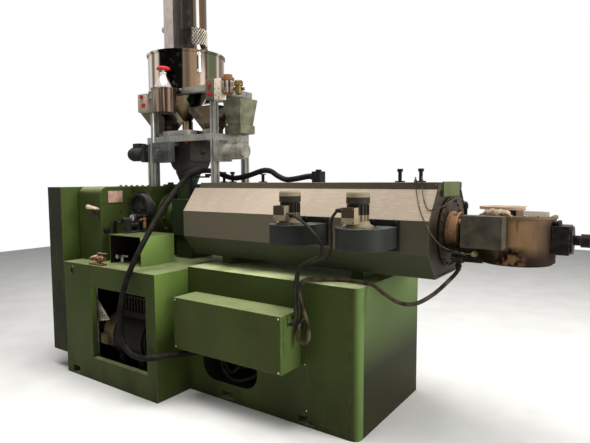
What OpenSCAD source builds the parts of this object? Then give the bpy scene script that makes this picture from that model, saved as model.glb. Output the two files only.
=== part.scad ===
// Single screw extrusion line head: base, drive, barrel, hopper station and die.
// Origin on the floor below the barrel axis at the middle of the main base.
// X runs with the melt, Y runs to the back, Z runs up. All sizes in mm.

/* [Base] */
// length of the main base
base_len = 1314; // [1280:1:1350]
// depth of the main base from front to back
base_dep = 864; // [840:1:890]
// height of the main base
base_h = 865; // [840:1:890]
// radius of the bent front edge at the die end
edge_r = 46; // [30:1:55]
// wall gap round the removable front panel
panel_gap = 2; // [1:0.5:4]
// radius of the anchor bolt holes in the base foot
anchor_r = 9; // [6:0.5:12]

/* [Stand] */
// length of the drive stand
stand_len = 1031; // [1010:1:1060]
// distance of the stand front from the barrel axis
stand_front = 722; // [700:1:740]
// drop of the stand top below the base top
stand_step = 15; // [10:1:25]
// wall thickness of the drive stand
stand_wall = 42; // [30:1:44]

/* [Terminal box] */
// length of the terminal box on the base front
tbox_len = 860; // [840:1:880]
// height of the terminal box
tbox_h = 335; // [320:1:350]
// depth of the terminal box
tbox_dep = 200; // [180:1:210]

/* [Drive] */
// width of the belt guard along the machine
guard_w = 176; // [150:1:190]
// clearance of the belt guard over the floor
guard_z = 138; // [110:1:160]
// radius of the drive motor body
motor_r = 172; // [150:1:180]

/* [Barrel] */
// height of the barrel axis over the base top
axis_rise = 295; // [290:1:310]
// radius of the bare barrel
barrel_r = 85; // [75:1:95]
// radius of the screw bore in the barrel
bore_r = 45; // [30:1:55]

/* [Cover] */
// length of the barrel cover
cover_len = 1797; // [1780:1:1810]
// half of the width of the barrel cover
cover_half = 332; // [325:1:336]
// sheet thickness of the barrel cover
cover_t = 8; // [6:1:10]

/* [Blowers] */
// radius of the cooling blower motor cowl
cowl_r = 62; // [58:1:66]
// smallest radius of the blower scroll
scroll_r = 126; // [118:1:128]
// growth of the scroll radius each quarter turn
scroll_step = 8; // [5:1:9]
// height of the blower scroll
scroll_h = 112; // [106:1:114]

/* [Die] */
// radius of the round die head
die_r = 183; // [178:1:186]
// height of the round die head
die_h = 240; // [230:1:245]
// bore radius of the melt outlet pipe
outlet_r = 14; // [8:1:16]

/* [Hopper] */
// radius of the main hopper drum
drum_r = 290; // [280:1:300]
// height of the main hopper drum
drum_h = 276; // [265:1:285]
// radius of the vacuum loader
loader_r = 101; // [95:1:104]
// height of the vacuum loader above the drum
loader_h = 740; // [700:1:780]
// wall thickness of the hopper sheet
hopper_t = 4; // [3:0.5:6]

/* [Hidden] */
axis_z = base_h + axis_rise;
base_r = base_len / 2;
base_l = -base_r;
base_f = -base_dep / 2;
base_b = base_dep / 2;
seam_x = base_r - 336;
panel_r = base_r - edge_r - 6;
cut_w = 470;
cut_h = 380;
stand_h = base_h - stand_step;
stand_r = base_l;
stand_l = stand_r - stand_len;
stand_f = -stand_front;
bay_l = stand_l + 336;
bay_r = stand_r - 95;
bay_z0 = 170;
bay_z1 = stand_h - 155;
bay_floor = 70;
motor_x = bay_r - 138;
motor_y = stand_f + 232;
motor_z = 330;
tbox_l = base_l + 74;
tbox_r = tbox_l + tbox_len;
tbox_z = base_h - 500;
tbox_f = base_f - tbox_dep;
cut_x = tbox_l + 294;
cut_z = tbox_z - 247;
gland_x = tbox_r + 18;
gear_top = axis_z + 250;
lid_t = 30;
cas_l = stand_l + 38;
cas_r = cas_l + 407;
cas_f = -268;
cas_b = 268;
guard_r = stand_l - 30;
guard_l = guard_r - guard_w;
guard_f = stand_f + 14;
guard_top = axis_z + 248;
hood_l = stand_l - 8;
hood_r = hood_l + 273;
hood_f = -572;
hood_b = cas_f - 22;
hood_top = axis_z + 248;
coup_l = hood_r + 105;
coup_r = coup_l + 350;
coup_f = -577;
coup_top = stand_h + 212;
cover_l = base_l - 140;
cover_e = cover_l + cover_len;
cover_zb = axis_z - 240;
cover_zt = axis_z + 240;
cover_z1 = axis_z - 100;
cover_z2 = axis_z + 80;
cover_top_half = cover_half - 120;
cover_low_half = cover_half - 112;
lid_top = cover_zt + 38;
junction_x = cover_l + 897;
feed_x = cover_l - 287;
neck_z = axis_z + 290;
deck_z = neck_z + 318;
plate_top = deck_z + 68;
blower_y = -cover_half - 148;
blower_xb = cover_e - 327;
blower_xa = blower_xb - 434;
scroll_z = axis_z - 66;
scroll_top = scroll_z + scroll_h;
scroll_dx = 16;
scroll_dy = 12;
plate_t = 12;
plate_w = 168;
die_x = cover_e + 357;
die_z = axis_z - 132;
die_top = die_z + die_h;
outlet_z = axis_z - 10;
outlet_e = cover_e + 800;
drum_z = deck_z + 356;
drum_top = drum_z + drum_h;
lid_z = drum_top + 8;
cone_r = 170;
loader_x = feed_x + 84;
loader_z = lid_z + 14;
post_l = feed_x - 196;
post_r = feed_x + 444;
post_y = 165;
post_s = 22;
post_f = -post_y - post_s;
green = [0.30, 0.43, 0.20];
dark = [0.12, 0.12, 0.12];
steel = [0.72, 0.72, 0.72];
grey = [0.60, 0.60, 0.58];
cream = [0.76, 0.70, 0.52];
brass = [0.62, 0.48, 0.25];
// cord routes, measured from the left cover end and the base top
conduit_path = [[897, 0, 613], [847, 0, 613], [747, -10, 597], [677, -18, 593],
  [612, -22, 617], [552, -26, 651], [487, -31, 656], [367, -45, 623], [237, -60, 605],
  [117, -68, 635], [17, -84, 662], [-58, -130, 651], [-88, -230, 597], [-71, -430, 425],
  [-45, -600, 245], [-48, -705, 95], [-85, -770, -75], [-128, -787, -245], [-139, -788, -375],
  [-118, -788, -480], [-43, -785, -543], [62, -780, -557], [137, -762, -549],
  [192, -708, -542], [267, -500, -557], [347, -290, -580], [347, -215, -580]];
lead_a_path = [[1087, -555, 395], [1107, -555, 395], [1207, -586, 355], [1277, -602, 307],
  [1327, -610, 253], [1317, -611, 198], [1247, -604, 159], [1172, -594, 110],
  [1141, -586, 15], [1131, -572, -95], [1124, -562, -178], [1109, -560, -215],
  [1092, -560, -215]];
lead_b_path = [[1411, -555, 430], [1391, -555, 430], [1360, -565, 380], [1361, -570, 245],
  [1349, -575, 190], [1292, -578, 161], [1212, -572, 135], [1155, -562, 85], [1137, -552, 0],
  [1127, -535, -125], [1118, -522, -185], [1107, -520, -215], [1092, -520, -215]];
die_path = [[1097, -447, -229], [1097, -467, -229], [1097, -499, -265], [1107, -509, -309],
  [1142, -509, -333], [1175, -508, -310], [1181, -507, -265], [1159, -505, -185],
  [1125, -502, -100], [1105, -490, -27], [1119, -452, 17], [1172, -380, 15], [1247, -318, 12],
  [1342, -295, 12], [1487, -337, 12], [1562, -347, -27], [1647, -348, -63],
  [1727, -335, -62], [1802, -288, -17], [1857, -205, 47], [1887, -115, 102],
  [1887, -115, 130]];
sensor_a_path = [[1697, -170, 587], [1697, -170, 599], [1709, -205, 600], [1732, -250, 510],
  [1782, -300, 433], [1837, -260, 447], [1882, -165, 487], [1909, -80, 463],
  [1909, -80, 433]];
sensor_b_path = [[1662, -175, 587], [1662, -175, 599], [1673, -208, 594], [1700, -254, 508],
  [1742, -312, 425], [1785, -346, 365], [1812, -344, 315], [1850, -300, 252],
  [1917, -190, 203], [1976, -146, 200], [1977, -130, 200]];

function unit(v) = v / norm(v);
function tangent(p, i) =
  unit(p[min(i + 1, len(p) - 1)] - p[max(i - 1, 0)]);
function carry(n, t) = unit(n - t * (n * t));
function frames(p, i, n) =
  i >= len(p) ? [] :
  let (t = tangent(p, i), m = carry(n, t)) concat([[m, cross(t, m)]], frames(p, i + 1, m));

// tube of k sides swept along a route
module cord(p, r, n0, k) {
  f = frames(p, 0, n0);
  c = len(p);
  color(dark) translate([cover_l, 0, base_h]) polyhedron(
    points = [for (i = [0 : c - 1], j = [0 : k - 1])
      p[i] + r * (cos(360 / k * j) * f[i][0] + sin(360 / k * j) * f[i][1])],
    faces = concat(
      [for (i = [0 : c - 2], j = [0 : k - 1])
        [i * k + j, i * k + (j + 1) % k, (i + 1) * k + (j + 1) % k, (i + 1) * k + j]],
      [[for (j = [k - 1 : -1 : 0]) j]],
      [[for (j = [0 : k - 1]) (c - 1) * k + j]]
    )
  );
}

module block(x0, x1, y0, y1, z0, z1) {
  translate([x0, y0, z0]) cube([x1 - x0, y1 - y0, z1 - z0]);
}
module rod_x(x0, x1, y, z, r) {
  translate([x0, y, z]) rotate([0, 90, 0]) cylinder(h = x1 - x0, r = r, $fn = 96);
}
module rod_y(x, y0, y1, z, r) {
  translate([x, y0, z]) rotate([-90, 0, 0]) cylinder(h = y1 - y0, r = r, $fn = 96);
}
module rod_z(x, y, z0, z1, r) {
  translate([x, y, z0]) cylinder(h = z1 - z0, r = r, $fn = 96);
}
module round_rect(w, h, r) {
  square([w - 2 * r, h], center = true);
  square([w, h - 2 * r], center = true);
  for (sx = [-1, 1], sy = [-1, 1])
    translate([sx * (w / 2 - r), sy * (h / 2 - r)]) circle(r = r, $fn = 48);
}

module base_outline() {
  translate([base_l, base_f]) square([base_len - edge_r, base_dep]);
  translate([base_r - edge_r - 1, base_f + edge_r]) square([edge_r + 1, base_dep - edge_r]);
  translate([base_r - edge_r, base_f + edge_r]) circle(r = edge_r, $fn = 96);
}

// main base with anchor pockets, cable cut-out and cover rails
module base_frame() {
  color(green) difference() {
    union() {
      linear_extrude(height = base_h) base_outline();
      for (x = [base_l + 97, base_r - 177])
        block(x, x + 80, -190, 190, base_h, cover_zb);
      rod_y(tbox_r + 23, base_f - 15, base_f, tbox_z + 271, 15);
      rod_y(cut_x - 161, base_f + 217, base_f + 240, tbox_z - 80, 26);
    }
    for (sx = [-1, 1], sy = [-1, 1]) {
      translate([sx * 310, sy * (base_b - 45), 0]) {
        translate([-55, -46, 14]) cube([110, 92, 46]);
        translate([0, 0, -1]) cylinder(h = 20, r = anchor_r, $fn = 48);
      }
    }
    difference() {
      translate([cut_x, base_f - 1, cut_z + cut_h / 2]) rotate([-90, 0, 0])
        linear_extrude(height = 241) round_rect(cut_w, cut_h, 110);
      rod_y(cut_x - 161, base_f + 217, base_f + 241, tbox_z - 80, 26);
    }
    block(seam_x, panel_r, base_f - 1, base_f + 5, 40, base_h - 12);
  }
}

// removable front panel at the die end
module base_front_panel() {
  color(green)
    block(seam_x + panel_gap, panel_r - panel_gap, base_f, base_f + 5,
      40 + panel_gap, base_h - 12 - panel_gap);
}

// long terminal box on the base front with two glands at its right end
module terminal_box() {
  color(green) difference() {
    union() {
      block(tbox_l, tbox_r, tbox_f + 5, base_f, tbox_z, tbox_z + tbox_h);
      block(tbox_r, tbox_r + 3, tbox_f + 30, base_f - 30, tbox_z + 115, tbox_z + 325);
      for (y = [tbox_f + 72, tbox_f + 112])
        rod_x(tbox_r + 3, gland_x, y, tbox_z + 285, 12);
    }
    block(tbox_l + 12, tbox_r - 12, tbox_f + 4, tbox_f + 9,
      tbox_z + 12, tbox_z + tbox_h - 12);
  }
}

// lid of the terminal box
module terminal_box_cover() {
  color(green)
    block(tbox_l, tbox_r, tbox_f, tbox_f + 5, tbox_z, tbox_z + tbox_h);
}

// drive stand, a box with an open motor bay
module stand_frame() {
  color(green) difference() {
    block(stand_l, stand_r, stand_f, base_b, 0, stand_h);
    block(stand_l + stand_wall, stand_r - stand_wall, stand_f + stand_wall,
      base_b - stand_wall, bay_floor, stand_h - 50);
    block(bay_l, bay_r, stand_f - 1, stand_f + stand_wall + 1, bay_z0, bay_z1);
    block(stand_l + 6, bay_l - 24, stand_f - 1, stand_f + 5, 90, stand_h - 2);
    block(stand_l + 78, stand_l + 158, stand_f - 1, stand_f + 90, 12, 66);
    rod_x(stand_l - 1, stand_l + stand_wall + 1, motor_y, motor_z, 60);
    for (x = [stand_l + 60, stand_r - 60], y = [stand_f + 25, base_b - 25])
      translate([x, y, -1]) cylinder(h = 14, r = anchor_r, $fn = 48);
  }
}

// narrow side panel with an oval latch
module stand_panel() {
  color(green) difference() {
    union() {
      block(stand_l + 6 + panel_gap, bay_l - 24 - panel_gap, stand_f, stand_f + 5,
        90 + panel_gap, stand_h - 2 - panel_gap);
      translate([stand_l + 111, stand_f, stand_h - 60]) rotate([90, 0, 0])
        linear_extrude(height = 6) round_rect(46, 76, 22.9);
    }
    translate([stand_l + 111, stand_f - 7, stand_h - 60]) rotate([-90, 0, 0])
      linear_extrude(height = 10) round_rect(26, 52, 12.9);
  }
}

// tall housing over the belt drive with its lid joint
module belt_guard() {
  color(green) difference() {
    block(guard_l, guard_r, guard_f, cas_b, guard_z, guard_top);
    block(guard_l + 24, guard_l + 27, guard_f - 1, guard_f + 6, guard_z - 1, guard_top + 1);
    block(guard_l + 24, guard_l + 27, guard_f - 1, cas_b + 1, guard_top - 6,
      guard_top + 1);
    block(guard_l + 24, guard_l + 27, cas_b - 6, cas_b + 1, guard_z - 1,
      guard_top + 1);
  }
}

// collars round the two shafts and spacers between belt guard and stand
module shaft_collars() {
  color(green) {
    rod_x(guard_r, stand_l, motor_y, motor_z, 90);
    rod_x(guard_r, cas_l, 0, axis_z, 110);
    for (z = [guard_z + 60, stand_h - 120]) {
      rod_x(guard_r, stand_l, guard_f + 60, z, 20);
      rod_x(guard_r, stand_l, cas_b - 60, z, 20);
    }
  }
}

// front hood of the gearbox with a rounded upper edge
module gearbox_hood() {
  r = 60;
  color(green) union() {
    translate([hood_l, 0, 0]) rotate([90, 0, 90])
      linear_extrude(height = hood_r - hood_l) union() {
        translate([hood_f, stand_h]) square([hood_b - hood_f, hood_top - r - stand_h]);
        translate([hood_f + r, stand_h]) square([hood_b - hood_f - r, hood_top - stand_h]);
        translate([hood_f + r, hood_top - r]) circle(r = r, $fn = 96);
      }
    block(cas_l + 12, hood_r - 14, hood_b, cas_f, stand_h, hood_top - 24);
  }
}

// handle on the hood front, a white grip above a dark clamp
module hood_handle() {
  x = hood_r - 52;
  color([0.85, 0.82, 0.75]) union() {
    translate([x - 66, hood_f - 30, axis_z + 100]) rotate([0, 99, 0])
      cylinder(h = 126, r = 17, $fn = 64);
    rod_y(x + 4, hood_f - 34, hood_f, axis_z + 30, 12);
    block(x - 48, x + 48, hood_f - 40, hood_f - 26, axis_z + 20, axis_z + 42);
    block(x - 8, x + 16, hood_f - 36, hood_f - 26, axis_z + 40, axis_z + 84);
  }
}

// cast gearbox casing with a bolted lid, ribs and inspection cover
module gearbox_casing() {
  color(green) union() {
    translate([(cas_l + cas_r) / 2, (cas_f + cas_b) / 2, stand_h])
      linear_extrude(height = gear_top - lid_t - stand_h)
        round_rect(cas_r - cas_l, cas_b - cas_f, 24);
    translate([(cas_l + cas_r) / 2, 8, gear_top - lid_t])
      linear_extrude(height = lid_t) round_rect(cas_r - cas_l + 30, cas_b - cas_f + 16, 30);
    for (x = [cas_l + 30 : 69 : cas_r], y = [cas_f + 22, cas_b - 6])
      rod_z(x, y, gear_top, gear_top + 10, 10);
    for (x = [cas_l + 60 : 90 : cas_r - 40])
      block(x, x + 14, cas_b, cas_b + 12, stand_h, gear_top - lid_t);
    block(cas_l + 22, cas_r - 22, cas_b, cas_b + 20, stand_h, stand_h + 28);
    rod_z(cas_r - 90, 30, gear_top, gear_top + 14, 62);
    rod_z(cas_r - 90, 30, gear_top + 14, gear_top + 30, 24);
    rod_x(cas_r, cas_r + 20, 0, axis_z, 205);
    block(cas_r, cas_r + 20, -150, 150, stand_h, axis_z);
  }
}

// drive motor in the bay with a ribbed ventilation box on top
module drive_motor() {
  top = motor_z + motor_r;
  color(dark) difference() {
    union() {
      rod_x(motor_x - 310, motor_x, motor_y, motor_z, motor_r);
      rod_x(motor_x, motor_x + 26, motor_y, motor_z, motor_r - 14);
      rod_x(motor_x + 26, motor_x + 60, motor_y, motor_z, 48);
      for (x = [motor_x - 280, motor_x - 70])
        block(x, x + 50, motor_y - 140, motor_y + 140, bay_floor, motor_z - 120);
      block(motor_x - 300, motor_x - 20, motor_y - 90, motor_y + 90, top - 30, top + 130);
    }
    for (i = [0 : 7])
      block(motor_x - 286 + 33 * i, motor_x - 266 + 33 * i, motor_y - 91, motor_y - 70,
        top + 16, top + 116);
  }
}

// cream end bell of the drive motor with its shaft and terminal block
module motor_end_bell() {
  x = motor_x - 310;
  color(cream) union() {
    rod_x(x - 150, x, motor_y, motor_z, motor_r - 30);
    translate([x - 200, motor_y, motor_z]) rotate([0, 90, 0])
      cylinder(h = 50, r1 = motor_r - 76, r2 = motor_r - 34, $fn = 96);
    rod_x(stand_l + 4, x - 200, motor_y, motor_z, 32);
    block(x - 150, x - 70, motor_y - motor_r + 4, motor_y - 110, motor_z - 66, motor_z + 6);
  }
}

// three-cornered punched guard sheet in the bay on its post
module motor_grille() {
  x = bay_l - 63;
  y = stand_f + 78;
  z = motor_z + 80;
  color(steel) difference() {
    translate([x, y, z]) rotate([90, 0, 0]) linear_extrude(height = 3)
      polygon([[0, 0], [166, 40], [14, 184]]);
    for (i = [0 : 6], j = [0 : 7])
      if (20 * j < 132 - 22 * i + 14 && 20 * j > 5 * i - 12)
        rod_y(x + 18 + 20 * i, y - 4, y + 1, z + 20 + 20 * j, 6);
  }
  color(dark) block(x - 8, x + 6, y, y + 14, bay_floor, stand_h - 50);
}

// guard box over the coupling, open to the front, with a hose elbow
module coupling_guard() {
  color(green) difference() {
    block(coup_l, coup_r, coup_f, cas_f - 6, stand_h, coup_top);
    block(coup_l + 4, coup_r - 4, coup_f - 1, cas_f - 32, stand_h - 1, coup_top - 4);
  }
}

// oil pump, filter and gauge on top of the coupling guard
module oil_unit() {
  x = coup_l + 12;
  y = coup_f + 96;
  z = coup_top;
  color(dark) union() {
    block(x, x + 60, y, y + 160, z, z + 10);
    rod_z(x + 30, y + 34, z + 10, z + 96, 24);
    rod_z(x + 30, y + 34, z + 96, z + 112, 30);
    rod_y(x + 30, y + 34, y + 150, z + 60, 14);
    rod_z(x + 30, y + 134, z + 10, z + 120, 18);
    rod_z(x + 30, y + 134, z + 120, z + 132, 24);
    rod_x(x + 30, x + 110, y + 134, z + 90, 10);
    rod_z(x + 100, y + 134, z, z + 132, 12);
    rod_z(x + 30, y + 90, z + 60, z + 84, 8);
    rod_y(x + 30, y + 72, y + 92, z + 112, 29);
    translate([x - 4, y + 34, z + 72]) rotate([90, 0, 0]) rotate_extrude(angle = 180, $fn = 64)
      translate([34, 0]) circle(r = 9, $fn = 24);
  }
}

// black fan cowl on the gearbox front with a pointed side plate
module oil_cooler() {
  x = cas_r - 58;
  z = axis_z + 84;
  color(dark) union() {
    difference() {
      rod_y(x, cas_f - 58, cas_f, z, 112);
      rod_y(x, cas_f - 59, cas_f - 40, z, 98);
    }
    rod_y(x, cas_f - 52, cas_f - 40, z, 34);
    for (a = [0 : 60 : 300])
      translate([x, cas_f - 46, z]) rotate([0, a, 0]) translate([0, -2, -6])
        cube([100, 4, 12]);
    translate([x, cas_f, z]) rotate([90, 0, 0]) linear_extrude(height = 8)
      polygon([[-70, 126], [30, 126], [134, 22], [60, -112], [-70, -112]]);
  }
}

// brass valve group on the stand edge and water elbow in the coupling guard
module water_valve() {
  x = hood_r + 26;
  y = stand_f + 40;
  color(brass) union() {
    block(x, x + 150, y - 22, y + 26, stand_h, stand_h + 12);
    rod_z(x + 96, y, stand_h + 12, stand_h + 34, 15);
    rod_x(x + 30, x + 160, y, stand_h + 48, 17);
    translate([x + 60, y, stand_h + 48]) rotate([0, 90, 0]) cylinder(h = 24, r = 25, $fn = 6);
    translate([x + 118, y, stand_h + 48]) rotate([0, 90, 0])
      cylinder(h = 20, r = 24, $fn = 6);
    rod_z(x + 96, y, stand_h + 60, stand_h + 84, 9);
    block(x + 86, x + 190, y - 8, y + 8, stand_h + 84, stand_h + 90);
    rod_y(x + 38, y - 34, y, stand_h + 48, 12);
  }
  color(steel) translate([coup_l + 62, coup_f, stand_h]) union() {
    rod_z(0, 60, 0, 32, 16);
    rod_z(0, 60, 32, 50, 11);
    rod_y(0, 22, 60, 50, 11);
    rod_y(0, 12, 22, 50, 15);
    rod_x(0, 70, 60, 50, 9);
  }
}

// thrust bearing housing between gearbox and feed section
module thrust_housing() {
  color(green) union() {
    rod_x(cas_r + 20, cas_r + 46, 0, axis_z, 190);
    rod_x(cas_r + 46, feed_x - 60, 0, axis_z, 150);
    for (a = [0 : 30 : 330])
      translate([cas_r + 46, 0, axis_z]) rotate([a, 0, 0]) translate([0, 170, 0])
        rotate([0, 90, 0]) cylinder(h = 14, r = 10, $fn = 24);
  }
}

// water cooled feed section with the filling throat
module feed_section() {
  color(grey) difference() {
    union() {
      block(feed_x - 60, feed_x + 150, -130, 130, axis_z - 130, axis_z + 150);
      rod_x(feed_x + 150, cover_l - 30, 0, axis_z, 120);
      rod_x(cover_l - 30, cover_l - 4, 0, axis_z, 150);
      block(feed_x - 40, feed_x + 130, -110, 110, stand_h, axis_z - 130);
      rod_z(feed_x, 0, axis_z + 150, neck_z - 40, 92);
    }
    rod_z(feed_x, 0, axis_z, neck_z - 39, 60);
  }
}

// steel barrel with heater bands
module barrel() {
  color(steel) difference() {
    union() {
      rod_x(cover_l - 4, cover_e + 6, 0, axis_z, barrel_r);
      for (x = [cover_l + 120 : 330 : cover_e - 200])
        rod_x(x, x + 240, 0, axis_z, barrel_r + 22);
      block(base_r - 217, base_r - 137, -60, 60, cover_zb + cover_t, axis_z - barrel_r + 10);
    }
    rod_x(cover_l - 5, cover_e + 7, 0, axis_z, bore_r);
  }
}

module cover_outline(t) {
  polygon([
    [-cover_half + t, cover_z1 + t * 0.3], [-cover_half + t, cover_z2 - t * 0.3],
    [-cover_top_half + t * 0.5, cover_zt - t], [cover_top_half - t * 0.5, cover_zt - t],
    [cover_half - t, cover_z2 - t * 0.3], [cover_half - t, cover_z1 + t * 0.3],
    [cover_low_half - t * 0.5, cover_zb + t], [-cover_low_half + t * 0.5, cover_zb + t]
  ]);
}

// eight sided sheet cover over the barrel
module cover_shell() {
  color(grey) translate([cover_l, 0, 0]) rotate([90, 0, 90])
    linear_extrude(height = cover_len) difference() {
      cover_outline(0);
      cover_outline(cover_t);
    }
}

// sheet ends of the cover with round openings
module cover_end_plates() {
  color(grey) for (x = [cover_l + 6, cover_e - 12])
    translate([x, 0, 0]) rotate([90, 0, 90]) linear_extrude(height = 6) difference() {
      cover_outline(cover_t);
      translate([0, axis_z]) circle(r = barrel_r + 40, $fn = 96);
    }
}

// flat lid along the cover top
module cover_top_lid() {
  color(grey) difference() {
    block(cover_l + 52, cover_e + 4, -206, 206, cover_zt, lid_top);
    block(cover_l + 56, cover_e, -202, 202, cover_zt - 1, lid_top - 4);
  }
}

// green bracket on the die end of the cover
module cover_bracket() {
  color(green) union() {
    block(cover_e + 4, cover_e + 12, -141, 135, lid_top - 76, lid_top + 4);
    block(cover_e, cover_e + 4, -141, 135, lid_top - 76, cover_zt - 2);
  }
}

// posts on the cover lid and the stays and saddles that carry the conduit
module terminal_posts() {
  color(dark) {
    for (x = [cover_l + 62, cover_l + 148, cover_e - 312, cover_e - 182])
      translate([x, 30, lid_top]) {
        cylinder(h = 8, r = 30, $fn = 64);
        translate([0, 0, 8]) cylinder(h = 54, r = 11, $fn = 64);
        translate([0, 0, 62]) cylinder(h = 18, r = 17, $fn = 64);
      }
    rod_z(cover_l + 487, -31, lid_top, lid_top + 8, 30);
    rod_z(cover_l + 487, -31, lid_top + 8, lid_top + 54, 11);
    block(cover_l + 479, cover_l + 495, -56, -6, lid_top + 54, lid_top + 61);
    block(junction_x, junction_x + 62, -34, 34, lid_top, lid_top + 72);
    rod_z(junction_x + 31, 0, lid_top + 72, lid_top + 84, 20);
    for (x = [cover_e - 135, cover_e - 100])
      rod_z(x, x < cover_e - 110 ? -175 : -170, lid_top, lid_top + 14, 8);
  }
  color(dark) translate([feed_x + 110, 0, axis_z + 150]) union() {
    block(0, 36, -118, -84, 0, 8);
    block(8, 20, -112, -90, 8, 176);
    block(20, cover_l - feed_x - 80, -112, -90, 164, 176);
    block(cover_l - feed_x - 108, cover_l - feed_x - 80, -112, -70, 176,
      lid_top - axis_z - 85);
  }
}

module scroll_outline(g) {
  a = scroll_r + g;
  e = scroll_step;
  translate([-e, -e]) intersection() {
    circle(r = a, $fn = 128);
    translate([-a, 0]) square([a + e, a]);
  }
  translate([0, -e]) intersection() {
    circle(r = a + e, $fn = 128);
    translate([-a - e, -a - e]) square([a + e, a + e]);
  }
  intersection() {
    circle(r = a + 2 * e, $fn = 128);
    translate([0, -a - 2 * e]) square([a + 2 * e, a + 2 * e]);
  }
  translate([-e, -e - 1]) square([a * 0.6, a * 0.7]);
  translate([a + 2 * e - 110, -1])
    square([110, -cover_half - plate_t - blower_y - scroll_dy + 1]);
}

// cooling blower scroll with outlet duct and mounting plate
module blower_housing(x) {
  translate([x, blower_y, 0]) color([0.42, 0.47, 0.48]) difference() {
    union() {
      translate([scroll_dx, scroll_dy, scroll_z])
        linear_extrude(height = scroll_h) scroll_outline(0);
      translate([scroll_dx, scroll_dy, scroll_top - 4])
        linear_extrude(height = 4) scroll_outline(3);
      translate([1, -cover_half - plate_t - blower_y, scroll_z - 18])
        cube([plate_w, plate_t, 164]);
    }
    translate([scroll_dx, scroll_dy, scroll_z + 3])
      linear_extrude(height = scroll_h - 6) scroll_outline(-4);
    translate([0, 0, scroll_z - 1]) cylinder(h = 10, r = 62, $fn = 96);
    translate([scroll_dx + scroll_r + 2 * scroll_step - 104, 60, scroll_z + 3])
      cube([98, 120, scroll_h - 6]);
  }
}

// vertical blower motor with cowl, terminal box, gland and foot
module blower_motor(x, s, gz) {
  fins = [for (a = [-60 : 20 : 200]) a];
  translate([x, blower_y, scroll_top]) {
    color([0.70, 0.68, 0.62]) {
      cylinder(h = 10, r = 80, $fn = 96);
      translate([0, 0, 10]) cylinder(h = 22, r1 = 70, r2 = 58, $fn = 96);
    }
    color(dark) union() {
      translate([0, 0, 32]) cylinder(h = 92, r = 53, $fn = 96);
      for (a = fins)
        rotate([0, 0, a]) translate([50, -1.5, 36]) cube([9, 3, 84]);
    }
    color([0.72, 0.70, 0.65]) translate([0, 0, 124]) {
      cylinder(h = 50, r = cowl_r, $fn = 96);
      translate([0, 0, 50]) rotate_extrude($fn = 96) {
        square([cowl_r - 14, 14]);
        intersection() {
          translate([cowl_r - 14, 0]) circle(r = 14, $fn = 48);
          square([cowl_r, 14]);
        }
      }
    }
    color(dark) translate([-41, -105, 22]) cube([74, 60, 84]);
    color(brass) translate([s < 0 ? -59 : 33, -75, gz]) rotate([0, 90, 0])
      cylinder(h = 18, r = 11, $fn = 48);
  }
}

// clamp ring and heater band at the barrel end
module barrel_flange() {
  color([0.42, 0.25, 0.16]) difference() {
    union() {
      rod_x(cover_e + 6, cover_e + 26, 0, axis_z, 117);
      rod_x(cover_e + 26, cover_e + 62, 0, axis_z, 108);
      rod_x(cover_e + 62, cover_e + 72, 0, axis_z, 114);
      for (a = [45, 135, 225, 315])
        translate([cover_e + 72, 0, axis_z]) rotate([a, 0, 0]) translate([0, 92, 0])
          rotate([0, 90, 0]) cylinder(h = 16, r = 12, $fn = 24);
    }
    rod_x(cover_e + 5, cover_e + 90, 0, axis_z, bore_r);
    for (y = [-50, -10, 30])
      block(cover_e + 30, cover_e + 58, y, y + 22, axis_z + 92, axis_z + 120);
  }
}

// adapter block between barrel and die with fittings
module die_adapter() {
  color(dark) union() {
    rod_x(cover_e + 72, die_x - 120, 0, axis_z, 70);
    block(cover_e + 100, die_x - 150, -96, 96, axis_z - 150, axis_z + 60);
    block(cover_e + 60, cover_e + 120, -150, -80, axis_z - 150, axis_z - 100);
    block(cover_e + 100, cover_e + 130, -110, -80, axis_z - 130, axis_z - 100);
    rod_z(cover_e + 90, -115, axis_z - 165, axis_z - 150, 14);
    rod_z(cover_e + 112, -80, axis_z + 60, axis_z + 138, 9);
    rod_y(cover_e + 180, -130, -96, axis_z - 95, 10);
    rod_y(cover_e + 75, -178, -150, axis_z - 125, 11);
    block(cover_e + 67, cover_e + 125, -186, -178, axis_z - 132, axis_z - 118);
  }
}

// round die head with lid and base band
module die_head() {
  color([0.55, 0.42, 0.25]) difference() {
    union() {
      rod_z(die_x, 0, die_z, die_top - 14, die_r);
      rod_z(die_x, 0, die_top - 14, die_top, die_r + 6);
      rod_z(die_x, 0, die_z - 10, die_z, die_r - 12);
    }
    rod_x(die_x - 200, die_x - 120, 0, axis_z, 74);
    block(die_x - 200, die_x - 149, -98, 98, axis_z - 152, axis_z + 62);
  }
}

// plain terminal box in front of the die
module die_terminal_box() {
  x = cover_e + 146;
  color([0.45, 0.45, 0.42]) union() {
    block(x, x + 196, -285, -190, axis_z - 48, axis_z + 112);
    block(x + 16, x + 50, -190, -96, axis_z - 20, axis_z + 40);
  }
}

// outlet block with pipe at the die end
module die_outlet() {
  x = die_x + die_r;
  color(dark) difference() {
    union() {
      block(x - 10, x + 66, -72, 72, outlet_z - 70, outlet_z + 72);
      rod_x(x + 66, x + 78, 0, outlet_z, 70);
      rod_x(x + 78, outlet_e, 0, outlet_z, 25);
      rod_x(outlet_e - 150, outlet_e - 110, 0, outlet_z, 33);
    }
    rod_x(outlet_e - 200, outlet_e + 1, 0, outlet_z, outlet_r);
    rod_z(die_x, 0, die_z - 20, die_top, die_r);
  }
}

// insulation boards on the die lid
module die_insulation() {
  x = die_x - 72;
  color([0.75, 0.68, 0.58]) union() {
    block(x + 81, x + 235, -90, 70, die_top, die_top + 26);
    translate([x, 0, die_top]) cylinder(h = 28, r = 78, $fn = 96);
    translate([x, 0, die_top + 28]) cylinder(h = 14, r = 118, $fn = 96);
  }
}

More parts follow.
